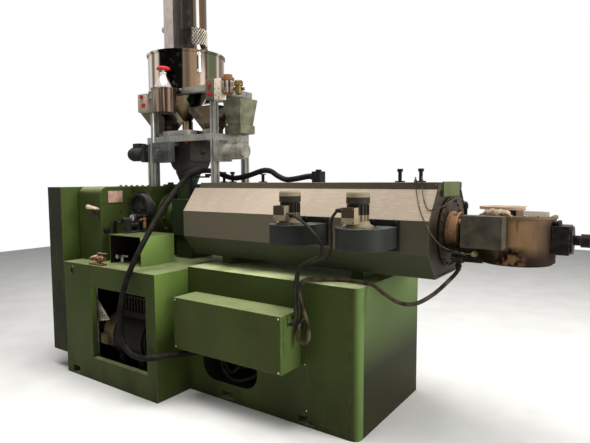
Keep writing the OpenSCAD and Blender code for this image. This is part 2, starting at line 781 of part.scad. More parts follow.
// sloped neck under the mixer
module feed_neck() {
  color([0.18, 0.22, 0.20]) difference() {
    union() {
      rod_z(feed_x, 0, neck_z - 40, neck_z - 24, 110);
      translate([feed_x, 0, neck_z - 24])
        cylinder(h = 84, r1 = 64, r2 = 96, $fn = 96);
    }
    rod_z(feed_x, 0, neck_z - 41, neck_z + 80, 56);
  }
}

// black mixing bin with a rounded lower end
module mixer_bin() {
  color(dark) difference() {
    union() {
      block(feed_x - 100, feed_x + 144, -120, 120, deck_z - 168, deck_z);
      translate([feed_x + 22, -120, deck_z - 144]) rotate([-90, 0, 0])
        cylinder(h = 240, r = 100, $fn = 128);
      rod_z(feed_x, 0, neck_z + 60, deck_z - 208, 100);
    }
    block(feed_x - 92, feed_x + 136, -112, 112, deck_z - 148, deck_z + 1);
    rod_z(feed_x, 0, neck_z + 59, deck_z - 68, 60);
  }
}

// cross plate over the mixer
module mixer_plate() {
  color([0.85, 0.85, 0.82]) difference() {
    block(feed_x - 130, feed_x + 150, -143, 143, deck_z, plate_top);
    block(feed_x - 90, feed_x + 110, -100, 100, deck_z - 1, plate_top + 1);
  }
}

// polished centre cone below the drum
module hopper_cone() {
  color(steel) difference() {
    translate([feed_x, 0, plate_top + 80])
      cylinder(h = drum_z - plate_top - 80, r1 = 30, r2 = cone_r, $fn = 128);
    translate([feed_x, 0, plate_top + 79])
      cylinder(h = drum_z - plate_top - 78, r1 = 30 - hopper_t, r2 = cone_r - hopper_t,
        $fn = 128);
  }
  color(grey) difference() {
    rod_z(feed_x, 0, plate_top, plate_top + 80, 40);
    rod_z(feed_x, 0, plate_top - 1, plate_top + 81, 26);
  }
}

// polished main drum
module hopper_drum() {
  color(steel) difference() {
    union() {
      rod_z(feed_x, 0, drum_z, drum_top, drum_r);
      rod_z(feed_x, 0, drum_top - 8, drum_top, drum_r + 8);
      rod_z(feed_x, 0, drum_z, drum_z + 10, drum_r + 4);
    }
    rod_z(feed_x, 0, drum_z + hopper_t, drum_top + 1, drum_r - hopper_t);
    rod_z(feed_x, 0, drum_z - 1, drum_z + 10, cone_r - 5);
  }
}

// lid of the main drum with rolled rim
module hopper_lid() {
  color(steel) union() {
    rod_z(feed_x, 0, drum_top, lid_z, drum_r + 10);
    translate([feed_x, 0, lid_z]) cylinder(h = 14, r1 = drum_r - 4, r2 = drum_r - 40, $fn = 128);
  }
}

// vacuum loader on the drum lid
module loader_body() {
  z0 = loader_z;
  color(steel) union() {
    rod_z(loader_x, 0, z0, z0 + 40, loader_r + 6);
    rod_z(loader_x, 0, z0 + 40, z0 + 52, loader_r);
    rod_z(loader_x, 0, z0 + 52, z0 + 176, loader_r - 6);
    rod_z(loader_x, 0, z0 + 176, z0 + loader_h - 50, loader_r);
    translate([loader_x, 0, z0 + loader_h - 50])
      cylinder(h = 50, r1 = loader_r + 4, r2 = loader_r - 30, $fn = 96);
  }
}

// punched band round the loader
module loader_mesh() {
  z0 = loader_z + 52;
  color(dark) difference() {
    rod_z(loader_x, 0, z0, z0 + 124, loader_r);
    rod_z(loader_x, 0, z0 - 1, z0 + 125, loader_r - 5.6);
    for (i = [0 : 8], a = [-64 : 12 : 20])
      translate([loader_x, 0, z0 + 10 + 13 * i]) rotate([0, 0, a + 4 * i])
        translate([loader_r - 10, -6, 0]) cube([20, 12, 7]);
  }
}

// square suction column beside the loader
module loader_column() {
  x = feed_x - 138;
  z0 = loader_z;
  color([0.80, 0.80, 0.78]) difference() {
    union() {
      block(x, x + 105, -100, 8, z0, z0 + loader_h - 60);
      block(x - 6, x + 111, -106, 14, z0, z0 + 14);
      rod_x(x - 58, x, -46, z0 + 218, 26);
    }
    rod_x(x - 59, x - 18, -46, z0 + 218, 20);
  }
}

module tapered_bin(x, y, w, d, z0, z1, w0, d0) {
  translate([x, y, z0]) polyhedron(
    points = [
      [-w0, -d0, 0], [w0, -d0, 0], [w0, d0, 0], [-w0, d0, 0],
      [-w, -d, z1 - z0], [w, -d, z1 - z0], [w, d, z1 - z0], [-w, d, z1 - z0]
    ],
    faces = [[0, 1, 2, 3], [7, 6, 5, 4], [0, 4, 5, 1], [1, 5, 6, 2], [2, 6, 7, 3], [3, 7, 4, 0]]
  );
}

// dosing hopper of half width w with its slide towards the mixer
module dosing_hopper(x, w, h, x0, x1) {
  z0 = deck_z + 72;
  color(steel) difference() {
    union() {
      tapered_bin(x, 0, w, 130, z0, z0 + h, 50, 60);
      block(x - 50, x + 50, -60, 60, deck_z + 7, z0);
      block(x0, x1, -50, 50, deck_z + 7, z0 - 10);
    }
    translate([0, 0, 4])
      tapered_bin(x, 0, w - hopper_t, 130 - hopper_t, z0, z0 + h,
        50 - hopper_t, 60 - hopper_t);
  }
}

// dosing drive: gear block on a post, motor with end cap and terminal box
module dosing_drive(x, s, w, z) {
  color(dark) translate([x, -165, z]) scale([s, 1, 1]) union() {
    block(0, w, -50, 50, -68, 72);
    rod_x(w, w + 150, 0, 0, 57);
    rod_x(w + 150, w + 172, 0, 0, 49);
    block(w + 40, w + 120, -35, 35, 44, 84);
    rod_x(-8, 0, 0, 0, 40);
  }
}

// control boxes on both sides and the pressure regulator
module control_boxes() {
  x = post_l - 98;
  color(grey) union() {
    block(x, x + 110, post_f - 58, post_f, drum_z - 140, drum_z - 2);
    rod_y(x + 55, post_f - 71, post_f - 58, drum_z - 24, 16);
    rod_y(x + 55, post_f - 63, post_f - 58, drum_z - 84, 10);
  }
  color(grey) translate([post_r - 10, post_f, drum_z]) union() {
    block(0, 102, -58, 0, -130, 36);
    block(102, 190, -51, 0, -114, 52);
    rod_z(214, -25, -64, -14, 20);
    block(190, 234, -35, -15, -50, -28);
  }
}

// small side hopper on the right
module side_hopper() {
  x = post_r + post_s;
  color(grey) difference() {
    union() {
      block(x, x + 148, -80, 80, deck_z + 22, deck_z + 82);
      tapered_bin(x + 78, 0, 85, 95, deck_z + 82, deck_z + 268, 60, 70);
    }
    translate([0, 0, 8])
      tapered_bin(x + 78, 0, 82, 92, deck_z + 82, deck_z + 268, 57, 67);
  }
}

module slotted_profile(nx, ny) {
  p = 2 * post_s;
  difference() {
    square([nx * p, ny * p], center = true);
    for (i = [0 : nx - 1], e = [-1, 1])
      translate([(i - (nx - 1) / 2) * p, e * ny * post_s]) square([9, 14], center = true);
    for (j = [0 : ny - 1], e = [-1, 1])
      translate([e * nx * post_s, (j - (ny - 1) / 2) * p]) square([14, 9], center = true);
  }
}

// slotted profile frame that carries the drum and the dosing units
module hopper_frame() {
  s = post_s;
  color(steel) union() {
    for (y = [-post_y, post_y]) {
      translate([post_l - s, y, gear_top]) linear_extrude(height = deck_z - 22 - gear_top)
        slotted_profile(2, 1);
      translate([post_r, y, lid_top]) linear_extrude(height = deck_z - 22 - lid_top)
        slotted_profile(1, 1);
      for (x = [post_l, post_r])
        translate([x, y, deck_z + 22]) linear_extrude(height = drum_z - deck_z - 22)
          slotted_profile(1, 1);
      block(post_l - 3 * s, post_r + s, y - s, y + s, deck_z - 22, deck_z + 22);
    }
    block(post_l + 14, post_r - 12, post_f - 2 * s, post_f, drum_z - 44, drum_z);
    block(post_l - s, post_r + s, -post_f, 2 * s - post_f, drum_z - 44, drum_z);
    for (x = [post_l, post_r])
      block(x - s, x + s, -post_y, post_y, drum_z - 44, drum_z);
    block(post_r - s, post_r + s, -post_y, post_y, deck_z - 22, deck_z + 22);
  }
}

base_frame();
base_front_panel();
terminal_box();
terminal_box_cover();
stand_frame();
stand_panel();
belt_guard();
shaft_collars();
gearbox_hood();
hood_handle();
gearbox_casing();
drive_motor();
motor_end_bell();
motor_grille();
coupling_guard();
oil_unit();
oil_cooler();
water_valve();
thrust_housing();
feed_section();
barrel();
cover_shell();
cover_end_plates();
cover_top_lid();
cover_bracket();
terminal_posts();
blower_housing(blower_xa);  // blower_housing_a
blower_housing(blower_xb);  // blower_housing_b
blower_motor(blower_xa, 1, 54);  // blower_motor_a
blower_motor(blower_xb, -1, 89);  // blower_motor_b
barrel_flange();
die_adapter();
die_head();
die_terminal_box();
die_outlet();
die_insulation();
feed_neck();
mixer_bin();
mixer_plate();
hopper_cone();
hopper_drum();
hopper_lid();
loader_body();
loader_mesh();
loader_column();
dosing_hopper(post_l - 65, 155, 170, post_l - 15, feed_x - 130);  // dosing_hopper_left
dosing_drive(post_l - 3 * post_s - 8, -1, 38, deck_z - 100);  // dosing_drive_left
dosing_hopper(post_r - 175, 150, 160, feed_x + 150, post_r - 225);  // dosing_hopper_right
dosing_drive(post_r + post_s + 8, 1, 88, deck_z - 113);  // dosing_drive_right
control_boxes();
side_hopper();
hopper_frame();
cord(conduit_path, 19, [0, 0, 1], 10);  // main_conduit
cord(lead_a_path, 8, [0, 0, 1], 10);  // blower_lead_a
cord(lead_b_path, 8, [0, 0, 1], 10);  // blower_lead_b
cord(die_path, 11, [0, 0, 1], 10);  // die_conduit
cord(sensor_a_path, 3, [1, 0, 0], 8);  // sensor_lead_a
cord(sensor_b_path, 3, [1, 0, 0], 8);  // sensor_lead_b
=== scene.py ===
"""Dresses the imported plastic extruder: camera, light, cords, materials and small trim.

The frame is the CAD's: +X runs with the melt, +Y to the back, +Z up from the floor. Materials
and cords are in metres. The trim is written in millimetres.
"""

import math
import random

import bmesh
import bpy
from mathutils import Matrix, Vector


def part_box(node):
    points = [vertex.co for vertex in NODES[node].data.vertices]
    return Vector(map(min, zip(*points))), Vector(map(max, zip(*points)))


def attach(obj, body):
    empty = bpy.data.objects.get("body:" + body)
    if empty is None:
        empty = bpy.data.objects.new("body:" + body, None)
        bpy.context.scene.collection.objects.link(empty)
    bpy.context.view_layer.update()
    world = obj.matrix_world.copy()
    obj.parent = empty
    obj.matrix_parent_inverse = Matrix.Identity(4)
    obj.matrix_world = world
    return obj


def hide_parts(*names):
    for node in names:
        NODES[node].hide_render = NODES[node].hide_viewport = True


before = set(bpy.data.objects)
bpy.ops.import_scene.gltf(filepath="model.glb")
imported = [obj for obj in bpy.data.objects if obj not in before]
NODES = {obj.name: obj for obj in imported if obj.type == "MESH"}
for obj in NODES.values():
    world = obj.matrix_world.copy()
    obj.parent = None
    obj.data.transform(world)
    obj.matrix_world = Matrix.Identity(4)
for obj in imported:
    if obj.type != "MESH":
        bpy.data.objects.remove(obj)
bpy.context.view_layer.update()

# the photograph's camera, solved from its vanishing lines, in metres and radians
CAMERA_PLACE = (1.8841, -2.8058, 1.45)
CAMERA_YAW, CAMERA_PITCH, CAMERA_ROLL = 0.60575, 0.08154, 0.00399
PHOTO_WIDTH_PX, FOCAL_PX = 590.0, 500.0
SENSOR_MM = 36.0

# upright axes of the hopper drum and of the loader, as x and y in metres
DRUM_AXIS = (-1.084, 0)
LOADER_AXIS = (-1.0, 0)

# directions of the trim
RIGHT, FRONT, UP = (1, 0, 0), (0, -1, 0), (0, 0, 1)

# a low gloss for all finishes, so that dark paint keeps its tone
SPECULAR_LEVEL = 0.07

# camera and stage


def new_object(name, data):
    """Puts a new object with this data into the scene."""
    made = bpy.data.objects.new(name, data)
    bpy.context.scene.collection.objects.link(made)
    return made


def make_camera():
    """The photograph's camera: yaw to the left, pitch down and a small roll."""
    level = math.cos(CAMERA_PITCH)
    ahead = Vector((
        -math.sin(CAMERA_YAW) * level, math.cos(CAMERA_YAW) * level, -math.sin(CAMERA_PITCH)))
    data = bpy.data.cameras.new("camera")
    data.sensor_width = SENSOR_MM
    data.lens = SENSOR_MM * FOCAL_PX / PHOTO_WIDTH_PX
    data.clip_end = 60.0
    cam = new_object("camera", data)
    cam.location = CAMERA_PLACE
    turn = ahead.to_track_quat("-Z", "Y").to_matrix().to_4x4()
    cam.rotation_euler = (turn @ Matrix.Rotation(-CAMERA_ROLL, 4, "Z")).to_euler()
    bpy.context.scene.camera = cam


def make_light(name, energy, place, aim, size):
    """A square area lamp at a place, turned to a point."""
    data = bpy.data.lights.new(name, "AREA")
    data.energy = energy
    data.size = size
    lamp = new_object(name, data)
    lamp.location = place
    lamp.rotation_euler = (Vector(aim) - Vector(place)).to_track_quat("-Z", "Y").to_euler()


def make_world():
    """A soft grey sky for light, seen as plain white by the camera and in reflections."""
    world = bpy.data.worlds.new("world")
    bpy.context.scene.world = world
    world.use_nodes = True
    tree = world.node_tree
    tree.nodes.clear()
    out = tree.nodes.new("ShaderNodeOutputWorld")
    mix = tree.nodes.new("ShaderNodeMixShader")
    soft = tree.nodes.new("ShaderNodeBackground")
    soft.inputs["Color"].default_value = (0.90, 0.93, 0.96, 1)
    soft.inputs["Strength"].default_value = 0.22
    white = tree.nodes.new("ShaderNodeBackground")
    white.inputs["Color"].default_value = (1, 1, 1, 1)
    path = tree.nodes.new("ShaderNodeLightPath")
    seen = None
    for ray in ("Is Camera Ray", "Is Glossy Ray", "Is Transmission Ray"):
        step = tree.nodes.new("ShaderNodeMath")
        step.operation = "MAXIMUM"
        tree.links.new(path.outputs[ray], step.inputs[0])
        if seen:
            tree.links.new(seen, step.inputs[1])
        else:
            step.inputs[1].default_value = 0.0
        seen = step.outputs[0]
    tree.links.new(seen, mix.inputs[0])
    tree.links.new(soft.outputs[0], mix.inputs[1])
    tree.links.new(white.outputs[0], mix.inputs[2])
    tree.links.new(mix.outputs[0], out.inputs["Surface"])


def make_stage():
    """The sky, three soft lamps and a plain view transform."""
    make_world()
    make_light("key", 430, (6.6, 0.4, 2.9), (0.0, 0, 0.9), 2.2)
    make_light("top", 390, (-0.4, -0.6, 5.6), (-0.2, 0, 1.0), 3.6)
    make_light("fill", 16, (1.0, -5.2, 3.0), (-0.3, 0, 0.9), 3.2)
    bpy.context.scene.view_settings.view_transform = "Standard"


def make_floor():
    """A plain pale floor, which isn't part of the object."""
    half = 9
    corners = [(-half, -half, 0), (half, -half, 0), (half, half, 0), (-half, half, 0)]
    mesh = bpy.data.meshes.new("floor")
    mesh.from_pydata(corners, [], [(0, 1, 2, 3)])
    floor = new_object("floor", mesh)
    s = Surface("floor", (232, 230, 226), 0.85)
    s.layer(s.noise(3, 0.35, 0.65), (224, 222, 217))
    mesh.materials.append(s.done())


# materials


def srgb(r, g, b):
    """A colour given in 0 to 255 as the screen shows it."""
    return tuple(
        (c / 255 / 12.92) if c / 255 <= 0.04045 else ((c / 255 + 0.055) / 1.055) ** 2.4
        for c in (r, g, b)
    ) + (1.0,)


def shade(color, factor):
    """The same colour, darker or lighter by a factor."""
    return tuple(min(255, int(c * factor)) for c in color)


class Surface:
    """A procedural finish: masks lay colours, roughness and metal over one shader."""

    def __init__(self, name, color, rough, metal=0.0):
        self.material = bpy.data.materials.new(name)
        self.material.use_nodes = True
        self.tree = self.material.node_tree
        self.shader = self.tree.nodes["Principled BSDF"]
        self.color, self.rough, self.metal = srgb(*color), rough, metal
        self.place = self.add("ShaderNodeTexCoord").outputs["Object"]
        self.normal = self.add("ShaderNodeNewGeometry").outputs["True Normal"]
        self.relief = None

    def add(self, kind, **settings):
        """A new node of this kind with its settings."""
        node = self.tree.nodes.new(kind)
        for key, value in settings.items():
            setattr(node, key, value)
        return node

    def put(self, value, socket):
        """Links a node's output to the socket, or writes a plain value on it."""
        if isinstance(value, bpy.types.NodeSocket):
            self.tree.links.new(value, socket)
        else:
            socket.default_value = value

    def fit(self, value, low, high):
        """Maps low..high to 0..1, held inside."""
        node = self.add("ShaderNodeMapRange")
        self.put(value, node.inputs["Value"])
        node.inputs["From Min"].default_value = low
        node.inputs["From Max"].default_value = high
        return node.outputs["Result"]

    def math(self, operation, a, b):
        """A math node over two values or sockets."""
        node = self.add("ShaderNodeMath", operation=operation)
        self.put(a, node.inputs[0])
        self.put(b, node.inputs[1])
        return node.outputs[0]

    def both(self, *masks):
        """1 where all the masks are 1."""
        result = masks[0]
        for mask in masks[1:]:
            result = self.math("MULTIPLY", result, mask)
        return result

    def noise(self, scale, low, high, detail=4, stretch=(1, 1, 1), warp=0.0):
        """A cloud mask, with its soft edge between low and high."""
        mapping = self.add("ShaderNodeMapping")
        mapping.inputs["Scale"].default_value = stretch
        self.put(self.place, mapping.inputs["Vector"])
        node = self.add("ShaderNodeTexNoise")
        node.inputs["Scale"].default_value = scale
        node.inputs["Detail"].default_value = detail
        node.inputs["Distortion"].default_value = warp
        self.put(mapping.outputs[0], node.inputs["Vector"])
        return self.fit(node.outputs["Fac"], low, high)

    def spots(self, scale, size):
        """Small round spots, 1 inside."""
        node = self.add("ShaderNodeTexVoronoi")
        node.inputs["Scale"].default_value = scale
        self.put(self.place, node.inputs["Vector"])
        return self.fit(node.outputs["Distance"], size, size * 0.6)

    def along(self, axis, low, high):
        """A ramp along x, y or z, from 0 at low to 1 at high, in metres."""
        node = self.add("ShaderNodeSeparateXYZ")
        self.put(self.place, node.inputs[0])
        return self.fit(node.outputs["xyz".index(axis)], low, high)

    def beyond(self, axis, value, upward=True):
        """1 on the far side of a plane across x, y or z."""
        step = 0.0002 if upward else -0.0002  # half the width of the soft edge
        return self.along(axis, value - step, value + step)

    def between(self, axis, low, high):
        """1 between two planes across x, y or z."""
        return self.both(self.beyond(axis, low), self.beyond(axis, high, False))

    def facing(self, axis, low=0.3, high=0.9):
        """How far the surface faces +x, +y or +z."""
        node = self.add("ShaderNodeSeparateXYZ")
        self.put(self.normal, node.inputs[0])
        return self.fit(node.outputs["xyz".index(axis)], low, high)

    def edges(self, radius):
        """1 on sharp edges, found by a bevelled normal."""
        bevel = self.add("ShaderNodeBevel", samples=4)
        bevel.inputs["Radius"].default_value = radius
        dot = self.add("ShaderNodeVectorMath", operation="DOT_PRODUCT")
        self.put(bevel.outputs[0], dot.inputs[0])
        self.put(self.normal, dot.inputs[1])
        return self.fit(self.math("SUBTRACT", 1.0, dot.outputs["Value"]), 0.03, 0.25)

    def mixed(self, kind, mask, a, b):
        """A colour (RGBA) or number (FLOAT) that goes from a to b with the mask."""
        first, second, out = {"RGBA": (6, 7, 2), "FLOAT": (2, 3, 0)}[kind]
        node = self.add("ShaderNodeMix", data_type=kind)
        self.put(mask, node.inputs[0])
        self.put(a, node.inputs[first])
        self.put(b, node.inputs[second])
        return node.outputs[out]

    def layer(self, mask, color=None, rough=None, metal=None, amount=1.0):
        """Lays another finish over the surface where the mask is 1."""
        if amount != 1.0:
            mask = self.math("MULTIPLY", mask, amount)
        if color is not None:
            self.color = self.mixed("RGBA", mask, self.color, srgb(*color))
        if rough is not None:
            self.rough = self.mixed("FLOAT", mask, self.rough, rough)
        if metal is not None:
            self.metal = self.mixed("FLOAT", mask, self.metal, metal)

    def bump(self, height, strength, distance):
        """Adds fine relief over any relief laid before."""
        node = self.add("ShaderNodeBump")
        node.inputs["Strength"].default_value = strength
        node.inputs["Distance"].default_value = distance
        self.put(height, node.inputs["Height"])
        if self.relief:
            self.put(self.relief, node.inputs["Normal"])
        self.relief = node.outputs[0]

    def within(self, x=None, y=None, z=None):
        """1 inside a box given by low and high on some of the axes."""
        sides = [self.between(axis, *span) for axis, span in zip("xyz", (x, y, z)) if span]
        return self.both(*sides)

    def done(self):
        """Links what was laid to the shader."""
        self.shader.inputs["Specular IOR Level"].default_value = SPECULAR_LEVEL
        self.put(self.color, self.shader.inputs["Base Color"])
        self.put(self.rough, self.shader.inputs["Roughness"])
        self.put(self.metal, self.shader.inputs["Metallic"])
        if self.relief:
            self.put(self.relief, self.shader.inputs["Normal"])
        return self.material


def green_paint(name, base=(60, 72, 32), wear=0.8, inside=None, dust=(136, 144, 100), right=()):
    """Satin machine enamel: uneven tone, dust and painted top light on top, grime low down and
    chipped edges.

    The box called inside is painted dark, as shade inside an opening. Each entry of right lays a
    lighter or darker tone on the +X faces as painted light and shade, a ramp along an axis.
    """
    s = Surface(name, base, 0.42)
    s.layer(s.noise(2.2, 0.35, 0.65), shade(base, 0.84))
    s.layer(s.noise(9, 0.5, 0.72, stretch=(1, 1, 0.25)), (64, 64, 36), 0.55, amount=0.5)
    s.layer(s.noise(170, 0.55, 0.75, detail=2), (84, 92, 52), 0.6, amount=0.3)
    # dust on the top faces, paler also as painted top light
    s.layer(s.both(s.facing("z"), s.noise(5, 0.1, 0.5)), dust, 0.7, amount=0.85)
    # painted light and painted shade on the +X faces
    for tone, axis, low, high in right:
        s.layer(s.both(s.facing("x"), s.along(axis, low, high)), tone, 0.5, amount=0.85)
    grime = s.both(s.along("z", 0.35, 0.0), s.noise(6, 0.35, 0.62, stretch=(1, 1, 0.4)))
    s.layer(grime, (46, 42, 28), 0.7, amount=0.75)
    chips = s.both(s.edges(0.006), s.noise(34, 0.48, 0.56))
    s.layer(chips, (112, 110, 84), 0.6, amount=wear)
    s.layer(s.noise(46, 0.74, 0.76, detail=6), (52, 46, 34), 0.6, amount=0.9)
    # painted shade inside an opening
    if inside:
        s.layer(s.within(*inside), (34, 29, 22), 0.9)
    s.bump(s.noise(240, 0.3, 0.7, detail=2), 0.10, 0.0008)
    return s.done()


def dark_paint(name, base=(52, 51, 49), dust=(112, 108, 98)):
    """Plain dull paint with dust on top and worn edges, dark unless a base is given."""
    s = Surface(name, base, 0.5)
    s.layer(s.noise(14, 0.4, 0.65), shade(base, 0.7))
    s.layer(s.both(s.facing("z"), s.noise(20, 0.3, 0.6)), dust, 0.8, amount=0.55)
    s.layer(s.both(s.edges(0.004), s.noise(60, 0.45, 0.55)), (120, 114, 104), 0.5, amount=0.6)
    s.bump(s.noise(300, 0.3, 0.7, detail=2), 0.12, 0.0006)
    return s.done()


def cover_sheet(name):
    """Light sheet of the barrel cover: pale where it faces up, with painted shade on its upright
    faces and on faces turned down, and darker to the right and on its end face.
    """
    s = Surface(name, (184, 167, 148), 0.45)
    s.layer(s.noise(1.6, 0.35, 0.65), (172, 156, 138))
    s.layer(s.along("x", 0.0, 1.2), (118, 102, 84), amount=0.7)
    runs = s.noise(7, 0.5, 0.72, stretch=(1, 1, 0.2), warp=0.4)
    s.layer(runs, (160, 144, 122), 0.55, amount=0.5)
    s.layer(s.noise(120, 0.5, 0.75, stretch=(0.15, 1, 1)), (206, 192, 172), 0.5, amount=0.3)
    # painted shade on the upright faces, deeper towards the right
    upright = s.facing("z", 0.5, 0.1)
    s.layer(upright, (86, 81, 65), 0.5, amount=0.92)
    s.layer(s.both(upright, s.along("x", 0.3, 1.1)), (46, 40, 32), amount=0.6)
    # painted shade on the faces turned down
    s.layer(s.facing("z", -0.05, -0.4), (58, 63, 45), 0.5, amount=0.85)
    s.layer(s.facing("x"), (52, 44, 36), 0.5, amount=0.8)
    dust = s.both(s.facing("z", 0.9, 1.0), s.noise(6, 0.35, 0.6))
    s.layer(dust, (150, 142, 126), 0.75, amount=0.5)
    s.layer(s.both(s.edges(0.006), s.noise(22, 0.42, 0.58)), (120, 112, 98), 0.5, amount=0.7)
    s.layer(s.noise(60, 0.76, 0.78, detail=6), (110, 98, 80), 0.6, amount=0.7)
    s.bump(s.noise(3.0, 0.2, 0.8, detail=1), 0.05, 0.01)
    return s.done()


def plain_metal(name, base=(150, 148, 143), rough=0.38):
    """Bare metal with brown stains and fine lines along X."""
    s = Surface(name, base, rough, 0.85)
    s.layer(s.noise(12, 0.4, 0.7), shade(base, 0.82), rough + 0.1)
    s.layer(s.noise(5, 0.55, 0.75, detail=6), (96, 84, 68), 0.6, amount=0.5)
    s.layer(s.noise(220, 0.45, 0.7, stretch=(0.06, 1, 1)), shade(base, 1.12))
    s.bump(s.noise(320, 0.3, 0.7, stretch=(0.1, 1, 1)), 0.08, 0.0005)
    return s.done()


def mirror_metal(name):
    """Polished stainless with painted reflections of the room: dark, brown and green upright bands.
    """
    s = Surface(name, (120, 112, 94), 0.14, 1.0)
    # painted reflections of the room as upright bands
    for scale, low, high, detail, stretch, tone, amount in (
        (5.5, 0.46, 0.53, 2, (1, 1, 0.04), (44, 40, 36), 0.8),
        (3.1, 0.55, 0.62, 2, (1, 1, 0.03), (112, 92, 70), 0.8),
        (4.3, 0.58, 0.64, 1, (1, 1, 0.03), (96, 112, 88), 0.48),
    ):
        s.layer(s.noise(scale, low, high, detail=detail, stretch=stretch), tone, amount=amount)
    s.layer(s.noise(24, 0.55, 0.7, detail=5), (150, 146, 138), 0.34, amount=0.45)
    s.bump(s.noise(90, 0.3, 0.7, stretch=(1, 1, 0.1)), 0.05, 0.0006)
    return s.done()


def banded_metal(name, centre, bands, base=(128, 120, 108)):
    """Polished round sheet with painted reflections and highlights as upright bands, each from one
    angle to another in degrees.
    """
    s = Surface(name, base, 0.16, 1.0)
    split = s.add("ShaderNodeSeparateXYZ")
    s.put(s.place, split.inputs[0])
    across = s.math("SUBTRACT", split.outputs[0], centre[0])
    depth = s.math("SUBTRACT", split.outputs[1], centre[1])
    turn = s.math("ARCTAN2", depth, across)
    sway = 0.06  # how far the bands wander, in radians
    drift = s.math("MULTIPLY", s.noise(7, 0.0, 1.0, stretch=(1, 1, 0.2)), sway)
    turn = s.math("ADD", turn, s.math("SUBTRACT", drift, sway / 2))
    soft = 2  # half the width of a band's edge, in degrees
    # each band is a painted reflection, the pale ones painted highlights
    for start, end, color in bands:
        rise = s.fit(turn, math.radians(start - soft), math.radians(start + soft))
        fall = s.fit(turn, math.radians(end + soft), math.radians(end - soft))
        s.layer(s.both(rise, fall), color)
    s.layer(s.noise(26, 0.55, 0.7, detail=5), (120, 112, 98), 0.34, amount=0.1)
    dust = s.both(s.facing("z", 0.9, 1.0), s.noise(9, 0.3, 0.6))
    s.layer(dust, (150, 146, 136), 0.5, amount=0.6)
    s.bump(s.noise(90, 0.3, 0.7, stretch=(1, 1, 0.1)), 0.05, 0.0006)
    return s.done()


def rusty(name):
    """Clamp ring: smooth pale rust above, dark below."""
    s = Surface(name, (178, 138, 104), 0.7, 0.15)
    s.layer(s.noise(18, 0.4, 0.66), (150, 112, 82))
    s.layer(s.noise(70, 0.6, 0.7, detail=6), (92, 62, 46), 0.85)
    s.layer(s.both(s.along("z", 1.20, 1.10), s.noise(9, 0.0, 0.3)), (40, 26, 18), 0.8)
    s.layer(s.both(s.edges(0.004), s.noise(50, 0.4, 0.6)), (120, 108, 96), 0.45, 0.7)
    s.bump(s.noise(140, 0.3, 0.7, detail=6), 0.35, 0.0015)
    return s.done()


def burnt_steel(name):
    """Heat-tinted die shroud: straw to brown, darker low and at the right, with a burnt spot."""
    s = Surface(name, (140, 113, 81), 0.42, 0.45)
    s.layer(s.noise(6, 0.38, 0.62, stretch=(1, 1, 0.35), warp=0.6), (104, 80, 54), 0.45)
    right = s.both(s.along("x", 1.40, 1.52), s.noise(7, -0.2, 0.3))
    s.layer(right, (44, 32, 22), 0.5, 0.1)
    left = s.both(s.along("x", 1.36, 1.27), s.noise(8, 0.1, 0.5))
    s.layer(left, (66, 52, 38), 0.5, 0.2)
    residue = s.noise(15, 0.52, 0.64, detail=7, stretch=(1, 1, 0.3))
    s.layer(residue, (58, 44, 32), 0.7, 0.2, 0.6)
    upper = s.both(s.along("z", 1.22, 1.262), s.noise(12, 0.2, 0.6))
    s.layer(upper, (96, 78, 56), amount=0.6)
    foot = s.both(s.along("z", 1.12, 1.06), s.noise(9, -0.1, 0.3))
    s.layer(foot, (34, 22, 14), 0.65, 0.05)
    rim = s.beyond("z", 1.254)
    s.layer(rim, (96, 80, 60), 0.45)
    front = s.both(s.along("y", 0.0, -0.1), s.along("x", 1.44, 1.39))
    burnt = s.both(front, s.along("x", 1.29, 1.34), s.along("z", 1.125, 1.105))
    s.layer(s.both(burnt, s.noise(22, 0.3, 0.5, detail=6)), (18, 12, 8), 0.85, 0.0)
    bare = s.both(front, s.along("x", 1.28, 1.32), s.along("z", 1.085, 1.07))
    s.layer(s.both(bare, s.noise(30, 0.42, 0.54, detail=6)), (118, 88, 60), 0.6, 0.1)
    s.bump(s.noise(60, 0.3, 0.7, detail=5), 0.15, 0.001)
    return s.done()


def black_steel(name):
    """Blackened steel, bare on its edges."""
    s = Surface(name, (24, 20, 18), 0.45, 0.5)
    s.layer(s.noise(30, 0.4, 0.65), (40, 34, 30), 0.6)
    s.layer(s.both(s.edges(0.004), s.noise(60, 0.4, 0.55)), (110, 104, 96), 0.4)
    s.bump(s.noise(160, 0.3, 0.7, detail=4), 0.2, 0.0008)
    return s.done()


def plastic(name, base=(26, 26, 27), rough=0.45, dust=(96, 92, 84)):
    """Fine-grained plastic with dust on top."""
    s = Surface(name, base, rough)
    s.layer(s.noise(40, 0.4, 0.7), shade(base, 1.25), rough + 0.12)
    s.layer(s.both(s.facing("z"), s.noise(25, 0.35, 0.65)), dust, 0.8, amount=0.4)
    s.bump(s.noise(420, 0.3, 0.7, detail=2), 0.15, 0.0003)
    return s.done()


def rubber(name, base=(15, 14, 13)):
    """Dull hose rubber with dust on its upper side."""
    s = Surface(name, base, 0.62)
    s.layer(s.noise(18, 0.4, 0.65), (32, 29, 25), 0.75)
    s.layer(s.both(s.facing("z", 0.2, 1.0), s.noise(30, 0.35, 0.6)), (74, 68, 58), 0.85, amount=0.4)
    s.bump(s.noise(260, 0.3, 0.7, detail=2), 0.25, 0.0005)
    return s.done()


